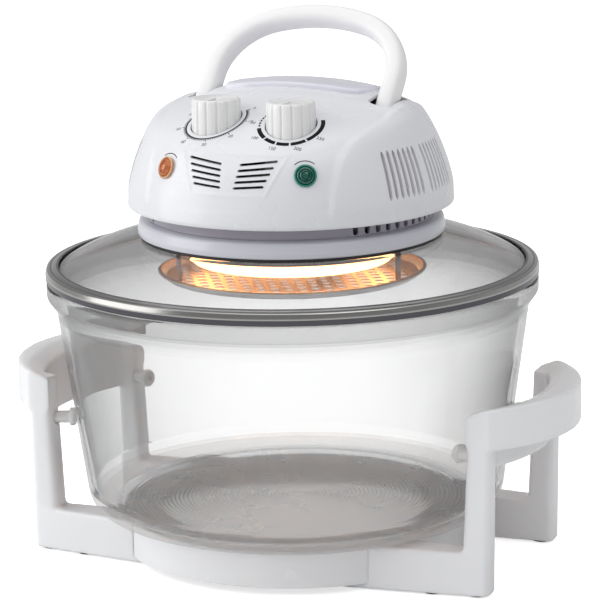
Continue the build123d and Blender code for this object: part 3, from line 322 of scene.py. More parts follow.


# painted light and shade: the stand's white is lighter and the head's darker than one plastic, for how light
# falls on each
white = material("white_plastic", (0.84, 0.85, 0.87), 0.22, Coat_Weight=0.25, Coat_Roughness=0.08)
head_shaded_white = material(
    "head_shaded_plastic", (0.75, 0.76, 0.79), 0.28, tint=0.01, Coat_Weight=0.12, Coat_Roughness=0.1
)
# painted shade: the skirt's plastic is a darker, lilac copy of the white, for the shade under the dome's
# overhang
skirt_shaded_white = material("skirt_shaded_plastic", (0.64, 0.65, 0.71), 0.2, Coat_Weight=0.3, Coat_Roughness=0.06)
# painted shade: a dark lilac plastic for the shaded neck under the dome's edge
neck_painted_shade = material("neck_shaded_plastic", (0.34, 0.32, 0.38), 0.3, Coat_Weight=0.2, Coat_Roughness=0.1)
# painted shade: a darker grey for the floors of the louvres
louvre_painted_shade = material("louvre_floor_shade", (0.42, 0.39, 0.40), 0.5)
# painted shade: the raised cap takes a greyer, lilac copy of the white plastic
cap_painted_shade = material("cap_plastic", (0.70, 0.70, 0.78), 0.2, Coat_Weight=0.3, Coat_Roughness=0.06)
handle_white = material("handle_plastic", (0.86, 0.86, 0.865), 0.34, grain=(900, 0.02))
knob_white = material("knob_plastic", (0.79, 0.79, 0.79), 0.2, Coat_Weight=0.3, Coat_Roughness=0.06)
bowl_clear = glass("bowl_glass", (0.97, 0.975, 0.975), (0.20, 0.205, 0.21), 1.08)
# painted shade: the neck and lip glass are greyer than the rest of the bowl
bowl_neck_shade = glass("bowl_neck_shade_glass", (0.93, 0.935, 0.935), (0.08, 0.085, 0.09), 1.08, shine=0.25)
bowl_lip_shade = glass("bowl_lip_shade_glass", (0.64, 0.645, 0.645), (0.03, 0.03, 0.035), 1.1, shine=0.25)
# painted light: the corner and foot glass carry less edge grey, and the foot's glass is milkier, over the
# shade seen through it
bowl_corner = glass("bowl_corner_glass", (0.97, 0.975, 0.975), (0.80, 0.805, 0.81), 1.0, clear=0.96)
bowl_foot = glass("bowl_foot_glass", (0.97, 0.975, 0.975), (0.76, 0.765, 0.77), 1.0, clear=0.78)
# painted shade: the floor glass is tinted grey, and the ridges' outer halves darker
bowl_floor_shade = glass("bowl_floor_shade_glass", (0.89, 0.915, 0.935), (0.34, 0.345, 0.35), 1.15, 0.28, 0.94, 0.1)
bowl_ridge_shade = glass("bowl_ridge_shade_glass", (0.79, 0.815, 0.835), (0.22, 0.225, 0.23), 1.15, 0.28, 0.9, 0.1)
lid_clear = glass("lid_glass", (0.93, 0.93, 0.93), (0.17, 0.17, 0.175))
spun = {"grain": (900, 0.01), "turned": True}
# painted reflection: the hoop's steel is darker than plain steel, for the dark surroundings that it reflects
hoop_steel = material("hoop_steel", (0.41, 0.405, 0.39), 0.2, **spun, Metallic=1.0)
hoop_painted_shade = material("hoop_shaded_steel", (0.10, 0.10, 0.11), 0.25, **spun, Metallic=1.0)
guard_steel = material("guard_steel", (0.68, 0.50, 0.34), 0.4, **spun, Metallic=1.0)
# painted light: a lighter, less metallic steel for the outside of the guard's rim
guard_rim_lit = material("guard_rim_lit_steel", (0.55, 0.54, 0.55), 0.35, **spun, Metallic=0.4)
strut_steel = material("strut_steel", (0.36, 0.32, 0.30), 0.32, grain=(700, 0.02), Metallic=1.0)
plated_steel = material("plated_steel", (0.60, 0.60, 0.58), 0.3, grain=(700, 0.02), Metallic=1.0)
bright_aluminium = material("bright_aluminium", (0.85, 0.85, 0.86), 0.18, **spun, Metallic=1.0)
screw_steel = material("screw_steel", (0.45, 0.45, 0.46), 0.3, grain=(900, 0.02), Metallic=1.0)
copper = material("copper_winding", (0.72, 0.33, 0.14), 0.35, grain=(1500, 0.2), Metallic=1.0)
bronze = material("bronze", (0.55, 0.38, 0.18), 0.35, grain=(900, 0.02), Metallic=1.0)
seal_clear = material("seal_silicone", (0.72, 0.73, 0.73), 0.4, grain=(500, 0.03))
black_rubber = material("black_rubber", (0.03, 0.03, 0.032), 0.6, grain=(900, 0.06))
black_plastic = material("black_plastic", (0.03, 0.03, 0.03), 0.4, grain=(700, 0.03))
mineral_fibre = material("mineral_fibre", (0.62, 0.58, 0.50), 0.9, grain=(1500, 0.5), tint=0.12)
ceramic = material("white_ceramic", (0.80, 0.78, 0.74), 0.5, grain=(1200, 0.04))
amber = material("amber_lens", (0.50, 0.13, 0.015), 0.1, Coat_Weight=0.8, Coat_Roughness=0.02)
# painted highlight: the lamps' rims are lighter than their lenses
amber_rim_highlight = material("amber_rim_highlight", (0.58, 0.28, 0.12), 0.15, Coat_Weight=0.6, Coat_Roughness=0.03)
green = material("green_lens", (0.0, 0.085, 0.058), 0.1, Coat_Weight=0.8, Coat_Roughness=0.02)
green_rim_highlight = material("green_rim_highlight", (0.02, 0.22, 0.17), 0.15, Coat_Weight=0.6, Coat_Roughness=0.03)
print_black = material("print_black", (0.008, 0.008, 0.009), 0.7, grain=(1500, 0.01), Specular_IOR_Level=0.2)
glow = material(
    "heater_glow", (0.9, 0.8, 0.6), 0.2, grain=(900, 0.02),
    Emission_Color=(1.0, 0.48, 0.18, 1.0), Emission_Strength=10.0,
)
bumper_opal = material("bumper_opal", (0.82, 0.825, 0.83), 0.3, grain=(600, 0.02), Coat_Weight=0.3)

# ------------------------------------------------------------------ stand
grip_top, grip_bevel_low = 131.0, 125.5
inner_arc_x, inner_arc_radius = 60.0, 122.0
outer_arc_x, outer_arc_radius = 107.0, 100.0
grip_bevel = [(100, grip_bevel_low - 1), (122, grip_bevel_low), (131, 130), (134, 131.1)]
grip_bevel += [(134, 140), (100, 140)]
filled_side = 58  # the grip is solid under its bevel, this far to each side of the middle
fill_bottom, fill_inset = 119.0, 0.4
fill_sides = range(-filled_side, filled_side + 1, 4)
fill_outer, fill_inner = outer_arc_radius - fill_inset, inner_arc_radius + fill_inset
fill_outline = [(outer_arc_x + sqrt(fill_outer**2 - y * y), y) for y in fill_sides]
fill_outline += [(inner_arc_x + sqrt(fill_inner**2 - y * y), y) for y in reversed(fill_sides)]

for side, name in ((1, "side_frame_right"), (-1, "side_frame_left")):
    source = cad_nodes[name]
    obj = bpy.data.objects.new(name.replace("side_frame", "frame"), source.data.copy())
    bpy.context.scene.collection.objects.link(obj)
    weld = obj.modifiers.new("weld", "WELD")
    weld.merge_threshold = 0.02 * MM
    bake(obj)
    side_axes = (Vector((0, 0, 0)), X_DIR * side, Y_DIR, Z_DIR)
    combine(obj, "UNION", prism(fill_outline, side_axes, fill_bottom, grip_top - fill_inset))
    combine(obj, "DIFFERENCE", lathe(grip_bevel, 256, upright_axes(side * inner_arc_x)))
    remesh = obj.modifiers.new("remesh", "REMESH")
    remesh.mode = "VOXEL"
    remesh.voxel_size = 1.3 * MM
    smooth = obj.modifiers.new("smooth", "SMOOTH")
    smooth.factor = 0.5
    smooth.iterations = 10
    bake(obj)
    dress(obj, "stand", "white_plastic", white, name, sharp=60)

bumper_height, bumper_front, bumper_side = 95.0, 155.4, 63.0
bumper_section = [(0, 176), (4.4, 176), (4.4, 160), (6.2, 159.4), (6.6, 158.4), (6.4, 156.6), (5.4, 155.2)]
bumper_section += [(3.6, 154.9), (2.2, 155.2), (2.0, 158), (0, 158.4)]
bumper_shapes = []
for side_x in (1, -1):
    for side_y in (1, -1):
        out = Vector((bumper_front * side_x, bumper_side * side_y, 0)).normalized()
        axes = (Vector((0, 0, bumper_height)), Vector((-out.y, out.x, 0)), Z_DIR, out)
        bumper_shapes.append(lathe(bumper_section, 40, axes))
bumpers = make("bumpers", merged(bumper_shapes))
dress(bumpers, "stand", "white_plastic", bumper_opal, "bowl_bumpers")

# ------------------------------------------------------------------ bowl
ridge_pitch, ridge_height = 3.0, 0.7
first_ridge, last_ridge = 6, 118.0
floor_top, floor_edge = 37, 128
foot_top, corner_top, neck_bottom, lip_bottom = 42, 66, 150, 184
walls = rounded(
    [(0, 32), (145, 32, 18), (165.5, 178, 14), (172, 187.2, 4), (172, 197.2, 3), (163.5, 197.2, 3),
     (160.5, 180, 16), (140, floor_top, 14), (0, floor_top)],
    10,
)
groove = [(125.6, floor_top), (125.2, 36.4), (124.8, 36.4), (124.4, floor_top)]
ridges = [
    (r, floor_top - ridge_height * (0.5 - 0.5 * cos(2 * pi * r / ridge_pitch)))
    for r in np.arange(last_ridge, first_ridge, -ridge_pitch / 6)
]
section = walls[:-1] + groove + ridges + [(first_ridge, floor_top), (0, floor_top)]
bowl = make("bowl", lathe(section, 256))
dress(bowl, "bowl", "bowl_glass", bowl_clear, "glass_bowl", sharp=50)


def on_ridge(p):
    """Whether a face lies on the outer half of a ridge in the bowl's floor."""
    return floor_top - 1 < p.z < floor_top and (last_ridge - hypot(p.x, p.y)) % ridge_pitch < ridge_pitch / 2


# painted light: lighter edge grey at the corner and foot, and milkier foot glass
paint(bowl, bowl_corner, lambda p: p.z < corner_top)
paint(bowl, bowl_foot, lambda p: p.z < foot_top)
# painted shade: the floor glass is tinted grey for the shaded ground under it, and half of each ridge darker
# to mark the rings
paint(bowl, bowl_floor_shade, lambda p: abs(p.z - floor_top) < 1 and hypot(p.x, p.y) < floor_edge)
paint(bowl, bowl_ridge_shade, on_ridge)
# painted shade: the glass turns greyer towards the bowl's top, most at its lip
paint(bowl, bowl_neck_shade, lambda p: p.z > neck_bottom)
paint(bowl, bowl_lip_shade, lambda p: p.z > lip_bottom)

# ------------------------------------------------------------------ lid
rim_bottom, seat_top, gasket_top = 199.5, 226, 228.4
dome_top = arc((165, 205.2), (136, 218.5), (104, seat_top), 30)
dome_under = arc((103, 221.5), (134.3, 214.2), (162, 201), 30)
section = rounded([(162.2, rim_bottom, 0.4), (170.5, rim_bottom, 1.2), (170.5, 204, 1.5)], 4)
section += [(166.5, 204.6)] + dome_top + [(92.5, seat_top), (91.3, 225.6), (91, 224.6), (91, 222.8)]
section += [(91.5, 221.7), (92.6, 221.5)] + dome_under
lid = make("lid_dome", lathe(section, 256))
dress(lid, "lid", "lid_glass", lid_clear, "lid_glass", sharp=50)

section = rounded(
    [(171.0, 198.2, 0.3), (172.2, 198.2, 0.5), (172.5, 203, 3), (171.4, 206.4, 1.2), (169.2, 206.8),
     (168.3, 206.8), (166.6, 207.5, 0.6), (164.8, 207.8), (163.2, 207.9, 0.3), (163.2, 206.9, 0.2),
     (166.6, 206.4, 0.6), (170.6, 205.2, 1.4), (171.5, 201, 2)],
    5,
)
hoop = make("hoop", lathe(section, 256))
dress(hoop, "lid", "hoop_steel", hoop_steel, "lid_hoop", sharp=60)


def in_hoop_shade(p):
    """Whether a face lies in one of the hoop's bands of painted shade and reflection: its foot, its inner
    edge or its crease.
    """
    radius = hypot(p.x, p.y)
    return p.z < 200.9 or radius < 164.9 or 168.2 < radius < 169.3


# painted shade and reflection: the hoop's foot, inner edge and crease take a dark steel
paint(hoop, hoop_painted_shade, in_hoop_shade)

section = [(163.2, 197.5, 0.5), (171.4, 197.5, 0.6), (171.4, rim_bottom, 0.6), (163.2, rim_bottom, 0.5)]
seal = make("seal", lathe(rounded(section, 3), 192))
dress(seal, "lid", "seal_rubber", seal_clear, "lid_seal")

section = [(92, seat_top, 0.4), (105.5, seat_top, 0.6), (105.5, gasket_top, 0.6), (92, gasket_top, 0.4)]
gasket = make("gasket", lathe(rounded(section, 3), 192))
dress(gasket, "lid", "black_rubber", black_rubber, "head_gasket")

# ------------------------------------------------------------------ head: lower housing
neck_outer, neck_inner, skirt_floor = 99.5, 97, 231
slot_width, slot_height, slot_middle = 4, 10.6, 246.2
first_slot, slot_pitch, slot_count = 49, 5.125, 17  # angles from the front, on each side
slot_start, slot_reach = 93, 12
section = rounded(
    [(107, gasket_top, 1.2), (107.2, 232, 4), (106, 239.0, 3.2), (neck_outer, 240.2, 1.2),
     (neck_outer, 253, 0.4), (neck_inner, 253, 0.4), (neck_inner, 237.2, 0.5), (103.5, 236.6, 1),
     (104.2, skirt_floor, 0.8), (90.5, skirt_floor, 0.4), (90.5, gasket_top, 0.4)],
    5,
)
lower = make("skirt", lathe(section, 256))
slot_angles = [first_slot + slot_pitch * i for i in range(slot_count)]
slots = []
for angle in slot_angles + [-a for a in slot_angles]:
    axes = outward_axes(angle, polar(slot_start, angle, slot_middle))
    slots.append(prism(capsule(slot_width, slot_height), axes, 0, slot_reach))
combine(lower, "DIFFERENCE", merged(slots))
dress(lower, "lid", "white_plastic", skirt_shaded_white, "lower_housing")
# painted shade: the neck under the dome's edge takes the dark lilac plastic
paint(lower, neck_painted_shade, lambda p: hypot(p.x, p.y) < neck_outer + 1.5 and p.z > skirt_floor + 4)

# ------------------------------------------------------------------ head: upper housing
base = 249.0
dome_line = arc((114.4, 243), (107.2, 279), (92, 311)) + arc((92, 311), (82.6, 320.2), (70, 326.6))[1:]
dome_line = np.array(dome_line + arc((70, 326.6), (36, 331.6), (0, 333))[1:])
roof_line = arc((-116, 262), (-106.5, 284), (-85, 303.5)) + arc((-85, 303.5), (-45, 320.5), (0, 328.6))[1:]
roof_line += arc((0, 328.6), (52, 324.1), (88, 304))[1:] + arc((88, 304), (107, 284), (116, 262))[1:]
roof_line = np.array(roof_line)
crown_centre = 28.6  # height of the axis that the roof turns about
crease_y = [-110, -95, -86, -74, -62, -47, -30, -8, 31, 60, 80, 95, 110]
crease_x = [70, 68.5, 67, 68, 71.5, 76, 80.5, 80, 79, 77, 73, 70, 70]  # where the side pods begin, along Y
pod_relief, pod_blend, bead_relief = 1.4, 5.0, 0.4
panel = [(-38, 297), (38, 297), (27, 271.5), (-27, 271.5)]  # raised outline round the front vents, x and z


def rays(azimuths, elevations):
    """Unit directions from the middle of the housing's base."""
    a, e = np.meshgrid(np.radians(azimuths), np.radians(elevations))
    return np.stack([np.cos(e) * np.sin(a), -np.cos(e) * np.cos(a), np.sin(e)], -1)


def reach(directions, soft=2.2):
    """Distance from the middle of the base to the plain housing surface, with soft creases."""
    flat = np.hypot(directions[..., 0], directions[..., 1])
    slope = np.arctan2(directions[..., 2], flat)
    line_slope = np.arctan2(dome_line[:, 1] - base, dome_line[:, 0])
    line_reach = np.hypot(dome_line[:, 0], dome_line[:, 1] - base)
    to_dome = np.interp(slope, line_slope, line_reach)
    low, high = np.zeros(slope.shape), np.full(slope.shape, 150.0)
    for _ in range(40):
        mid = (low + high) / 2
        p = directions * mid[..., None]
        rise = np.hypot(p[..., 0], p[..., 2] + base - crown_centre)
        out = rise > np.interp(p[..., 1], roof_line[:, 0], roof_line[:, 1]) - crown_centre
        high = np.where(out, mid, high)
        low = np.where(out, low, mid)
    return -soft * np.logaddexp(-to_dome / soft, -mid / soft)


def step(distance, width):
    """0 to 1 across a width, smooth at both ends."""
    t = np.clip(distance / width + 0.5, 0, 1)
    return t * t * (3 - 2 * t)


def panel_distance(x, z):
    """How far a point in the front view lies inside the outline round the vents."""
    inside = np.full(x.shape, 1e3)
    for (x0, z0), (x1, z1) in zip(panel, panel[1:] + panel[:1]):
        length = hypot(x1 - x0, z1 - z0)
        inside = np.minimum(inside, ((z0 - z) * (x1 - x0) + (x - x0) * (z1 - z0)) / length)
    return inside


def housing_surface(directions, offset=0.0, relief=True):
    """Points of the housing at an offset from its plain surface, with side pods and vent panel."""
    distance = reach(directions) + offset
    if relief:
        p = directions * distance[..., None]
        past_crease = np.abs(p[..., 0]) - np.interp(p[..., 1], crease_y, crease_x)
        pod = step(past_crease, pod_blend) * step(p[..., 2] - 9, 12)
        inside = panel_distance(p[..., 0], p[..., 2] + base)
        bead = step(inside + 0.9, 1.0) * step(0.9 - inside, 1.0) * (p[..., 1] < -60)
        distance = distance + pod_relief * pod + bead_relief * bead
    return directions * distance[..., None] + np.array([0, 0, base])


def housing_solid(azimuths, elevations, offset=0.0, relief=True, bottom_edge=()):
    """Closed shape under the housing surface, down to its lowest row of points."""
    rows = housing_surface(rays(azimuths, elevations), offset, relief)
    loops = [[Vector(p) for p in row] for row in rows[:-1]]
    for inset, height in bottom_edge:
        ring = [Vector((p.x, p.y, 0)) * (1 - inset / hypot(p.x, p.y)) for p in loops[0]]
        loops.insert(0, [p + Vector((0, 0, height)) for p in ring])
    points, faces = loft(loops, False)
    size = len(loops[0])
    last = len(points) - size
    points += [Vector((0, 0, loops[0][0].z)), Vector(rows[-1][0])]
    for k in range(size):
        m = (k + 1) % size
        faces.append([m, k, len(points) - 2])
        faces.append([last + k, last + m, len(points) - 1])
    return points, faces


fine_azimuths = np.arange(0, 360, 0.5)
fine_elevations = np.concatenate([np.arange(0.8, 12, 0.8), np.arange(12, 52, 0.45), np.arange(52, 90.1, 1.0)])
fine_elevations[-1] = 90
coarse_azimuths = np.arange(0, 360, 2)
coarse_elevations = np.concatenate([np.linspace(1.5, 88, 60), [90]])
wall, above_all = 2.5, 345.0
knob_spots = [(-27.5, -61.0), (27.5, -61.0)]
well_radius, well_floor, shaft_hole = 17.8, 304.2, 3.5  # the knobs turn in round wells
bottom_edge = ((0.4, base + 0.3), (1.3, base))
upper = make("dome", housing_solid(fine_azimuths, fine_elevations, bottom_edge=bottom_edge))
lining = make("lining", housing_solid(coarse_azimuths, coarse_elevations, -wall, False))


def upright(radius, bottom, top, x=0.0, y=0.0, turns=96):
    """Upright round rod."""
    return lathe([(0, bottom), (radius, bottom), (radius, top), (0, top)], turns, upright_axes(x, y))


well_walls = [upright(well_radius + 2, well_floor - wall, above_all, x, y) for x, y in knob_spots]
combine(lining, "DIFFERENCE", *well_walls)
cut_shell = upper.modifiers.new("lining", "BOOLEAN")
cut_shell.operation = "DIFFERENCE"
cut_shell.solver = "MANIFOLD"
cut_shell.object = lining
bake(upper)
bpy.data.objects.remove(lining)

throat_radius, handle_slot_floor = 97.2, 302
openings = [upright(throat_radius, 240, 252.2, turns=128)]
openings += [upright(well_radius, well_floor, above_all, x, y) for x, y in knob_spots]
openings += [upright(shaft_hole, 300, 305, x, y, 32) for x, y in knob_spots]
slot_outline = rounded([(59.8, -8, 7), (76.2, -8, 7), (76.2, 31, 3), (59.8, 31, 3)])  # for the handle's feet
for side in (-1, 1):
    axes = (Vector((0, 0, handle_slot_floor)), X_DIR * side, Y_DIR, Z_DIR)
    openings.append(prism(slot_outline, axes, 0, 40))
front_axes = (Vector((0, -60, 0)), X_DIR, Z_DIR, -Y_DIR)
vent_width, vent_rows = 1.7, 5
vent_near, near_step = np.array([6.5, 290.7]), np.array([0.48, 3.62])  # x and z of the top vent's inner end
vent_far, far_step = np.array([32.0, 293.6]), np.array([1.6, 3.97])  # the same at its outer end
for row in range(vent_rows):
    near, far = vent_near - near_step * row, vent_far - far_step * row
    length, tilt = hypot(far[0] - near[0], far[1] - near[1]), atan2(far[1] - near[1], far[0] - near[0])
    for side in (-1, 1):
        outline = []
        for u, v in capsule(vent_width, length):
            x = (near[0] + far[0]) / 2 + v * cos(tilt) - u * sin(tilt)
            z = (near[1] + far[1]) / 2 + v * sin(tilt) + u * cos(tilt)
            outline.append((side * x, z))
        openings.append(prism(outline, front_axes, 0, 70))
lamp_x, lamp_y, lamp_height, lamp_tilt, lamp_hole = 50.5, -92, 284.5, 20, 6.4
lamp_axes = []
for side in (-1, 1):
    flat = Vector((side * lamp_x, lamp_y, 0))
    out = (flat + Vector((0, 0, flat.length * sin(radians(lamp_tilt))))).normalized()
    across = Vector((-flat.y, flat.x, 0)).normalized()
    lamp_axes.append((flat + Vector((0, 0, lamp_height)), across, out.cross(across), out))
    openings.append(lathe([(0, -12), (lamp_hole, -12), (lamp_hole, 8), (0, 8)], 48, lamp_axes[-1]))
gland_hole, gland_height = 7, 262
gland_outline = [
    (gland_hole * cos(a), gland_height + gland_hole * sin(a)) for a in np.linspace(0, 2 * pi, 40)[:-1]
]
openings.append(prism(gland_outline, (Vector((0, 90, 0)), -X_DIR, Z_DIR, Y_DIR), 0, 30))
louvre_bottom, louvre_top, louvre_depth = 264, 296, 1.9
louvre_pitch, louvre_count = 2.75, 7
louvre_groups = ((60, 2.9), (82, 2.5))  # first angle and width
louvre_zone = (58, 101)  # angles that hold them all


def louvre(angle, width):
    """Shallow upright slot that follows the housing, as a closed cutter."""
    loops = []
    for height in np.linspace(louvre_bottom, louvre_top, 13):
        end = min(height - louvre_bottom, louvre_top - height)
        half = width / 2 * sqrt(max(0.02, min(1, 2 * end / width + 0.1)))
        slope = 15.0
        for _ in range(6):  # closes in on the surface at this height
            flat = float(np.hypot(*housing_surface(rays([angle], [slope]))[0, 0, :2]))
            slope = np.degrees(atan2(height - base, flat))
        out = polar(1, angle)
        across = Vector((-out.y, out.x, 0))
        up = Vector((0, 0, height))
        near, far = flat - louvre_depth, flat + 4
        loops.append([
            out * near - across * half + up, out * near + across * half + up,
            out * far + across * half + up, out * far - across * half + up,
        ])
    return loft(loops)


louvres = [
    louvre(side * (start + louvre_pitch * i), width)
    for start, width in louvre_groups for i in range(louvre_count) for side in (-1, 1)
]
combine(upper, "DIFFERENCE", *openings, merged(louvres))
dress(upper, "lid", "white_plastic", head_shaded_white, "upper_housing", sharp=42)


def in_louvre(p):
    """Whether a face lies on the floor of a louvre."""
    angle = abs(np.degrees(atan2(p.x, -p.y)))
    if not (louvre_bottom < p.z < louvre_top and louvre_zone[0] < angle < louvre_zone[1]):
        return False
    plain = housing_surface(rays([angle], [np.degrees(atan2(p.z - base, hypot(p.x, p.y)))]))[0, 0]
    depth = float(np.linalg.norm(plain - np.array([0, 0, base]))) - (p - Vector((0, 0, base))).length
    return louvre_depth - 0.9 < depth < louvre_depth + 0.3


# painted shade: the louvres' floors take a darker grey, for the shade inside them
paint(upper, louvre_painted_shade, in_louvre)
housing_tree = BVHTree.FromPolygons(
    [v.co / MM for v in upper.data.vertices], [list(p.vertices) for p in upper.data.polygons]
)

# ------------------------------------------------------------------ head: cap
cap_half, cap_rear = 53.0, 74.0
cap_outline = []
for a in np.linspace(0, 90, 24):
    cap_outline.append((cap_rear * sin(radians(a)), cap_rear * cos(radians(a))))
cap_outline = [(x, y) for x, y in cap_outline if x <= cap_half]
cap_outline += [(cap_half, sqrt(cap_rear**2 - cap_half**2)), (cap_half, 30), (cap_half, 12), (50.5, 4.5)]
cap_outline += [(44, 1.2), (30, 0.4), (15, 0.1), (0, 0)]
cap_outline += [(-x, y) for x, y in cap_outline[-2:0:-1]]


def height_at(x, y, offset=0.0):
    """Height of the plain housing surface over a point, in millimetres."""
    direction = np.array([x, y, 75.0])
    for _ in range(8):
        unit = direction / np.linalg.norm(direction)
        distance = reach(unit[None, None])[0, 0]
        direction = np.array([x, y, unit[2] * distance])
    return float(base + direction[2] + offset)


cap_middle = Vector((0, 34, 0))
cap_steps = ((0, -1.5), (0, 1.6), (0.5, 2.5), (1.4, 2.95), (4, 3.0), (14, 3.0), (26, 3.0), (36, 3.0))
cap_loops = []
for inset, lift in cap_steps:
    loop = []
    for x, y in cap_outline:
        p = Vector((x, y, 0)) - cap_middle
        p = p * max(0.02, 1 - inset / max(p.length, 1)) + cap_middle
        loop.append(Vector((p.x, p.y, height_at(p.x, p.y, lift))))
    cap_loops.append(loop)
cap = make("cap", loft(cap_loops))
dress(cap, "lid", "cap_plastic", cap_painted_shade, "top_cap")

# ------------------------------------------------------------------ controls
flute_count, flute_steps = 14, 16
groove_depth, flat_depth, groove_share = 0.75, 0.22, 0.11
knob_rows = [(305.0, 17.0, 1), (306, 17.0, 1), (320, 16.8, 1), (327.0, 16.65, 1), (328.0, 16.35, 0.8)]
knob_rows += [(328.6, 15.6, 0.4), (328.8, 14.6, 0), (328.5, 13.4, 0), (328.3, 12.0, 0), (328.3, 4.0, 0)]
knob_rib = rounded([(-1.2, -15, 0.6), (1.2, -15, 0.6), (1.2, -2, 0.6), (-1.2, -2, 0.6)], 3)
knob_hub = [(3, 306), (5, 306), (5, 327.5), (3, 327.5)]
hollow_radius, hollow_top = 13, 326


def knob_shape(x, y):
    """Fluted knob with a rolled top edge; a row gives height, radius and share of the flutes' depth."""
    turns = flute_count * flute_steps
    loops = []
    for z, radius, depth in knob_rows:
        loop = []
        for k in range(turns):
            phase = (k / flute_steps) % 1
            groove = groove_depth * depth * max(0.0, 1 - abs(phase - 0.5) / groove_share) ** 0.6
            flat = flat_depth * depth * (1 - cos(2 * pi * phase)) / 2
            a = 2 * pi * k / turns
            r = radius - groove - flat
            loop.append(Vector((x + r * cos(a), y + r * sin(a), z)))
        loops.append(loop)
    return loft(loops)


for (x, y), name, body in zip(knob_spots, ("timer_knob", "thermostat_knob"), ("timer", "thermostat")):
    axes = upright_axes(x, y)
    obj = make(name.replace("knob", "grip"), knob_shape(x, y))
    combine(obj, "UNION", prism(knob_rib, axes, 327, 329.2))
    combine(obj, "DIFFERENCE", upright(hollow_radius, 300, hollow_top, x, y))
    combine(obj, "UNION", lathe(knob_hub, 40, axes))
    dress(obj, body, "white_plastic", knob_white, name, sharp=50)


print_start = 360.0  # marks drop on the housing from this height


def on_housing(point, direction, lift=0.07):
    """The point where a line meets the housing, lifted a little off it."""
    hit, _, _, _ = housing_tree.ray_cast(Vector(point), Vector(direction))
    return hit - Vector(direction) * lift


def strip_faces(count):
    """Faces of a strip between pairs of points."""
    return [[2 * i, 2 * i + 1, 2 * i + 3, 2 * i + 2] for i in range(count - 1)]


def ribbon(centre, radii, start, end, count):
    """Flat arc on top of the housing; angles are degrees from the back, clockwise."""
    loops = []
    for a in np.linspace(start, end, count):
        out = Vector((sin(radians(a)), cos(radians(a)), 0))
        spots = [Vector((*centre, print_start)) + out * r for r in radii]
        loops.append([on_housing(p, (0, 0, -1)) for p in spots])
    return [p for pair in loops for p in pair], strip_faces(count)


def number(text, centre, radius, angle, size):
    """Plain number printed on the housing beside a dial."""
    curve = bpy.data.curves.new("number", "FONT")
    curve.body = text
    curve.size = size
    curve.align_x = "CENTER"
    curve.align_y = "CENTER"
    obj = bpy.data.objects.new("number", curve)
    bpy.context.scene.collection.objects.link(obj)
    view = bpy.context.evaluated_depsgraph_get()
    mesh = bpy.data.meshes.new_from_object(obj.evaluated_get(view))
    bpy.data.objects.remove(obj)
    spot = Vector((*centre, print_start)) + Vector((sin(radians(angle)), cos(radians(angle)), 0)) * radius
    points = [on_housing(spot + Vector((v.co.x, v.co.y, 0)), (0, 0, -1)) for v in mesh.vertices]
    return points, [list(p.vertices) for p in mesh.polygons]


timer_spot, heat_spot = knob_spots
timer_start, minute_angle, half_tick = 55, 4, 0.9
heat_bands = ((60, 128), (131, 158), (161, 184), (187, 210), (213, 245))
dash_start, dash_pitch, dash_length = 250, 8, 5
first_heat, heat_angle = 300, 38  # where 0 stands, and the angle between two numbers
number_size = 3.6
timer_print = [ribbon(timer_spot, (20.3, 21.3), timer_start, timer_start + 60 * minute_angle, 90)]
for minute in range(61):
    angle = timer_start + minute_angle * minute
    radii = (21.0, 23.6 if minute % 10 == 0 else 22.5)
    timer_print.append(ribbon(timer_spot, radii, angle - half_tick, angle + half_tick, 2))
for minute in range(0, 61, 10):
    angle = timer_start + minute_angle * minute
    timer_print.append(number(str(minute), timer_spot, 26.4, angle, number_size))
heat_print = [ribbon(heat_spot, (20.2, 23.0), start, end, 24) for start, end in heat_bands]
for i in range(8):
    start = dash_start + dash_pitch * i
    heat_print.append(ribbon(heat_spot, (20.8, 22.0), start, start + dash_length, 4))
for i in range(6):
    heat_print.append(number(str(50 * i), heat_spot, 26.6, first_heat - heat_angle * i, number_size))
dials = make("dial_print", merged(timer_print + heat_print))
dress(dials, "lid", "black_plastic", print_black)

lens_section = [(0, -4), (5.7, -4), (5.7, 0.6), (7.3, 0.6), (7.6, 0.9), (7.6, 1.6), (7.2, 2.0), (6.5, 2.05)]
lens_section += [(6.1, 1.2), (5.7, 2.2), (5.2, 2.9), (4.6, 3.1), (4.2, 2.4), (3.7, 3.1), (3.1, 3.6)]
lens_section += [(2.7, 3.0), (2.1, 3.8), (1.1, 4.0), (0, 4.0)]
lens_radius, arc_count = 6.05, 24
lamp_finishes = (
    ("heat_lamp", "amber_lens", amber, amber_rim_highlight),
    ("power_lamp", "green_lens", green, green_rim_highlight),
)
for axes, (name, slot, shade, rim_highlight) in zip(lamp_axes, lamp_finishes):
    centre_line = axes[0], axes[3]
    lens = make(name.replace("lamp", "lens"), lathe(lens_section, 64, axes))
    dress(lens, "lid", slot, shade, name)
    # painted highlight: the lens's outer rim takes a lighter colour
    paint(lens, rim_highlight, lambda p, line=centre_line: (p - line[0]).cross(line[1]).length > lens_radius)
lamp_arcs = []
for origin, across, along, out in lamp_axes:
    points = []
    for a in np.linspace(50, 130, arc_count):
        for r in (10.0, 10.6):
            spot = origin + out * 30 + (across * cos(radians(a)) + along * sin(radians(a))) * r
            points.append(on_housing(spot, -out))
    lamp_arcs.append((points, strip_faces(arc_count)))
arcs = make("lamp_print", merged(lamp_arcs))
dress(arcs, "lid", "black_plastic", print_black)

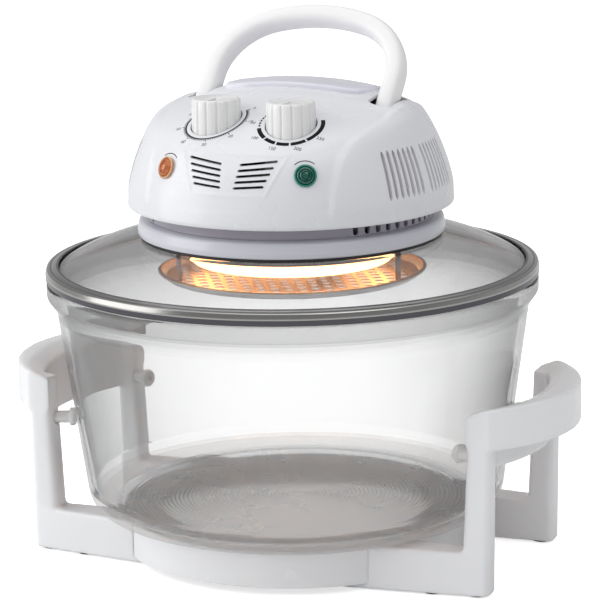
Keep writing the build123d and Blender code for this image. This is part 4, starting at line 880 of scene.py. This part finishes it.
# ------------------------------------------------------------------ carry handle
pivot = Vector((0, 3.5, 308))
lean = radians(42.7)
handle_up = Vector((0, sin(lean), cos(lean)))
handle_out = Vector((0, -cos(lean), sin(lean)))
half_span, rise, corner, top_radius = 68.0, 84.0, 48.0, 116.0
bar_half_width, bar_half_depth, bar_squareness = 7.0, 8.5, 0.72
hub_radius, hub_half, pin_hole = 9, 7, 3.05
corner_x, top_centre = half_span - corner, rise - top_radius
leg = top_centre + sqrt((top_radius - corner) ** 2 - corner_x**2)
tangent = atan2(leg - top_centre, corner_x)
path = [(half_span, v) for v in np.linspace(-2, leg, 24)[:-1]]
path += [(corner_x + corner * cos(a), leg + corner * sin(a)) for a in np.linspace(0, tangent, 36)]
path += [
    (top_radius * cos(a), top_centre + top_radius * sin(a)) for a in np.linspace(tangent, pi / 2, 24)[1:]
]
path += [(-u, v) for u, v in path[-2::-1]]
loops = []
for i, (u, v) in enumerate(path):
    before, after = path[max(i - 1, 0)], path[min(i + 1, len(path) - 1)]
    forward = Vector((after[0] - before[0], after[1] - before[1])).normalized()
    sideways = Vector((-forward.y, forward.x))
    loop = []
    for a in np.linspace(0, 2 * pi, 41)[:-1]:
        wide = bar_half_width * np.sign(cos(a)) * abs(cos(a)) ** bar_squareness
        deep = bar_half_depth * np.sign(sin(a)) * abs(sin(a)) ** bar_squareness
        at = Vector((u, v)) + sideways * wide
        loop.append(pivot + Vector((at.x, 0, 0)) + handle_up * at.y + handle_out * deep)
    loops.append(loop)
handle = make("handle_bar", loft(loops))
hub = rounded([(0, -hub_half), (hub_radius, -hub_half, 1.2), (hub_radius, hub_half, 1.2), (0, hub_half)])
bore = [(0, -hub_half - 2), (pin_hole, -hub_half - 2), (pin_hole, hub_half + 2), (0, hub_half + 2)]
for side in (-1, 1):
    axes = (pivot + X_DIR * (side * half_span), Y_DIR, Z_DIR, X_DIR)
    combine(handle, "UNION", lathe(hub, 64, axes))
    combine(handle, "DIFFERENCE", lathe(bore, 32, axes))
heel = prism([(64, 7.5), (72, 7.5), (72, 19.5), (64, 19.5)], upright_axes(), 306, 312)
combine(handle, "UNION", heel)
dress(handle, "handle", "handle_plastic", handle_white, "carry_handle", sharp=50)

# ------------------------------------------------------------------ heater
ring_radius, ring_height, tube_radius, gap, bend = 66.0, 212.0, 4.5, 14.0, 3.5
tube_end = [polar(ring_radius, 180 - gap, z) for z in (227.5, 222, 218)]  # straight down, then round a bend
for a in np.linspace(0, 90, 7)[1:]:
    turn = bend * (1 - cos(radians(a)))
    tube_end.append(polar(ring_radius, 180 - gap - turn, ring_height + bend - bend * sin(radians(a))))
ring = [polar(ring_radius, a, ring_height) for a in np.linspace(180 - gap - 6, gap - 180 + 6, 160)]
centres = tube_end + ring + [Vector((-p.x, p.y, p.z)) for p in reversed(tube_end)]
loops = []
for i, centre in enumerate(centres):
    forward = (centres[min(i + 1, len(centres) - 1)] - centres[max(i - 1, 0)]).normalized()
    out = Vector((centre.x, centre.y, 0)).normalized()
    up = forward.cross(out).normalized()
    loops.append([
        centre + (out * cos(a) + up * sin(a)) * tube_radius for a in np.linspace(0, 2 * pi, 25)[:-1]
    ])
tube = make("glow_tube", loft(loops))
dress(tube, "lid", "heater_glass", glow, "heater_tube", sharp=60)

guard_bottom, guard_floor, guard_radius = 197, 197.8, 92.3
bead_radius, bead_height = 1.3, 201.2
section = rounded(
    [(0, guard_bottom), (88.6, guard_bottom, 1.8), (91.8, 199.6, 1.0), (92.2, 202.2, 0.5), (91.2, 202.4, 0.3),
     (90.6, 200, 0.8), (88, guard_floor, 1.4), (0, guard_floor)],
    4,
)
dish = make("guard_dish", lathe(section, 160))
bead = [
    (guard_radius + bead_radius * cos(a), bead_radius * sin(a)) for a in np.linspace(0, 2 * pi, 17)[:-1]
]
combine(dish, "UNION", lathe(bead, 160, upright_axes(z=bead_height)))
holes = []
hole_pitch, hole_radius, hole_field, hole_rows, hole_columns = 10.6, 3.3, 82, 9, 8
for row in range(-hole_rows, hole_rows + 1):
    for column in range(-hole_columns, hole_columns + 1):
        x = (column + (row % 2) / 2) * hole_pitch
        y = row * hole_pitch * sqrt(3) / 2
        if 5 < hypot(x, y) < hole_field:
            holes.append(upright(hole_radius, guard_bottom - 2, guard_bottom + 2, x, y, 20))
combine(dish, "DIFFERENCE", merged(holes))
dress(dish, "lid", "guard_steel", guard_steel, "heater_guard")


def on_guard_rim(p):
    """Whether a face lies on the outside of the guard's rim, below its bead."""
    return hypot(p.x, p.y) > 86 + max(0, p.z - 197.4) * 1.6 and p.z < 201


# painted light: the outside of the guard's rim is lighter and less metallic than the dish, for the light on
# it
paint(dish, guard_rim_lit, on_guard_rim)

strut_top, strut_half_width = 231, 3
strut_outline = [(85.9, guard_floor), (86.9, guard_floor), (86.9, strut_top), (82.5, strut_top)]
strut_outline += [(82.5, strut_top - 1), (85.9, strut_top - 1)]
struts = []
for angle in (-40, 80, 200):
    axes = (Vector((0, 0, 0)), polar(1, angle), Z_DIR, polar(1, angle + 90))
    struts.append(prism(strut_outline, axes, -strut_half_width, strut_half_width))
strut_set = make("strut_set", merged(struts))
edge = strut_set.modifiers.new("edge", "BEVEL")
edge.width = 0.2 * MM
edge.segments = 2
bake(strut_set)
dress(strut_set, "lid", "guard_steel", strut_steel, "guard_struts")

# ------------------------------------------------------------------ CAD pieces that keep their shape
finishes = {
    white: ("base_ring", "rest_pads"),
    black_rubber: ("foot_pads", "cord_gland"),
    screw_steel: (
        "frame_screws", "deck_screws", "housing_screws", "handle_pins", "motor_shaft", "motor_posts",
    ),
    plated_steel: (
        "deck_plate", "motor_bracket_lower", "motor_bracket_upper", "motor_stator", "motor_rotor",
        "control_plate", "handle_bracket_right", "handle_bracket_left", "timer_body", "thermostat_body",
        "timer_shaft", "thermostat_shaft", "convection_fan",
    ),
    bright_aluminium: ("reflector",),
    mineral_fibre: ("insulation_disc",),
    ceramic: ("heater_holders", "thermal_cutout"),
    copper: ("motor_coil",),
    bronze: ("motor_bushes", "thermostat_bulb"),
    hoop_steel: ("timer_bell",),
    black_plastic: ("cooling_fan", "lamp_bodies", "terminal_block", "safety_switch", "switch_plunger"),
}
for finish, names in finishes.items():
    for name in names:
        mesh = cad_nodes[name].data
        mesh.materials.clear()
        mesh.materials.append(finish)

# ------------------------------------------------------------------ studio
floor_size, floor_level = 14000.0, -0.3
corners = ((-1, -1), (1, -1), (1, 1), (-1, 1))
floor_corners = [(floor_size * x, floor_size * y, floor_level) for x, y in corners]
floor = make("floor", (floor_corners, [[0, 1, 2, 3]]))
ground = bpy.data.materials.new("pale_floor")
ground.use_nodes = True
tree = ground.node_tree
shader = tree.nodes["Principled BSDF"]
shader.inputs["Base Color"].default_value = (0.86, 0.86, 0.86, 1)
shader.inputs["Roughness"].default_value = 0.9
light_path = tree.nodes.new("ShaderNodeLightPath")
through_glass = tree.nodes.new("ShaderNodeMath")
through_glass.operation = "MULTIPLY"
through_glass.inputs[1].default_value = 0.38
tree.links.new(light_path.outputs["Is Transmission Ray"], through_glass.inputs[0])
lift = tree.nodes.new("ShaderNodeMath")
lift.operation = "MULTIPLY_ADD"
lift.inputs[1].default_value = 0.66
tree.links.new(light_path.outputs["Is Camera Ray"], lift.inputs[0])
tree.links.new(through_glass.outputs[0], lift.inputs[2])
shader.inputs["Emission Color"].default_value = (1, 1, 1, 1)
tree.links.new(lift.outputs[0], shader.inputs["Emission Strength"])
floor.data.materials.append(ground)

world = bpy.data.worlds.new("studio")
world.use_nodes = True
bpy.context.scene.world = world
tree = world.node_tree
background = tree.nodes["Background"]
direction = tree.nodes.new("ShaderNodeTexCoord").outputs["Generated"]
parts = tree.nodes.new("ShaderNodeSeparateXYZ")
tree.links.new(direction, parts.inputs[0])
ramp = tree.nodes.new("ShaderNodeValToRGB")
for position, value in ((0.0, 0.5), (0.12, 0.55), (0.30, 0.32), (0.52, 0.28), (0.72, 0.8), (1.0, 0.9)):
    stop = ramp.color_ramp.elements.new(position)
    stop.color = (value, value, value * 1.02, 1)
ramp.color_ramp.elements.remove(ramp.color_ramp.elements[0])
ramp.color_ramp.elements.remove(ramp.color_ramp.elements[-1])
tree.links.new(parts.outputs["Z"], ramp.inputs["Fac"])
paths = tree.nodes.new("ShaderNodeLightPath")
across = tree.nodes.new("ShaderNodeMapRange")
across.inputs["From Min"].default_value = -1
across.inputs["To Min"].default_value = 1.12
across.inputs["To Max"].default_value = 0.36
tree.links.new(parts.outputs["X"], across.inputs["Value"])
choose = tree.nodes.new("ShaderNodeMix")
choose.data_type = "RGBA"
tree.links.new(across.outputs["Result"], choose.inputs["B"])
tree.links.new(paths.outputs["Is Diffuse Ray"], choose.inputs["Factor"])
tree.links.new(ramp.outputs["Color"], choose.inputs["A"])
show = tree.nodes.new("ShaderNodeMix")
show.data_type = "RGBA"
show.inputs["B"].default_value = (1, 1, 1, 1)
tree.links.new(paths.outputs["Is Camera Ray"], show.inputs["Factor"])
tree.links.new(choose.outputs["Result"], show.inputs["A"])
tree.links.new(show.outputs["Result"], background.inputs["Color"])


def soft_light(name, position, aim, size, power):
    """Square soft light that faces a point; places in metres, power in watts."""
    lamp = bpy.data.lights.new(name, "AREA")
    lamp.size = size
    lamp.energy = power
    obj = bpy.data.objects.new(name, lamp)
    obj.location = position
    obj.rotation_euler = (Vector(aim) - Vector(position)).to_track_quat("-Z", "Y").to_euler()
    bpy.context.scene.collection.objects.link(obj)


soft_light("key", (-2.1, -1.2, 1.05), (0, 0, 0.2), 1.9, 23)
soft_light("top", (-0.2, 0.2, 2.2), (0, 0, 0.2), 1.4, 3.5)
soft_light("fill", (1.3, -0.8, 2.2), (0, 0, 0.25), 1.4, 9)

azimuth, elevation, roll = radians(23.4), radians(12.58), radians(1.02)
camera_distance, aim_shift, aim_height = 2.14, 4.9, 177.4
aim = Vector((aim_shift * cos(azimuth), aim_shift * sin(azimuth), aim_height)) * MM
back = Vector((cos(elevation) * sin(azimuth), -cos(elevation) * cos(azimuth), sin(elevation)))
right = (-back).cross(Z_DIR).normalized()
up = right.cross(-back)
camera_x = right * cos(roll) - up * sin(roll)
camera_y = right * sin(roll) + up * cos(roll)
camera_data = bpy.data.cameras.new("camera")
camera_data.sensor_width = 36
camera_data.lens = 183
camera = bpy.data.objects.new("camera", camera_data)
turned = Matrix((camera_x, camera_y, back)).transposed().to_4x4()
camera.matrix_world = Matrix.Translation(aim + back * camera_distance) @ turned
bpy.context.scene.collection.objects.link(camera)
bpy.context.scene.camera = camera
bpy.context.scene.view_settings.view_transform = "Standard"
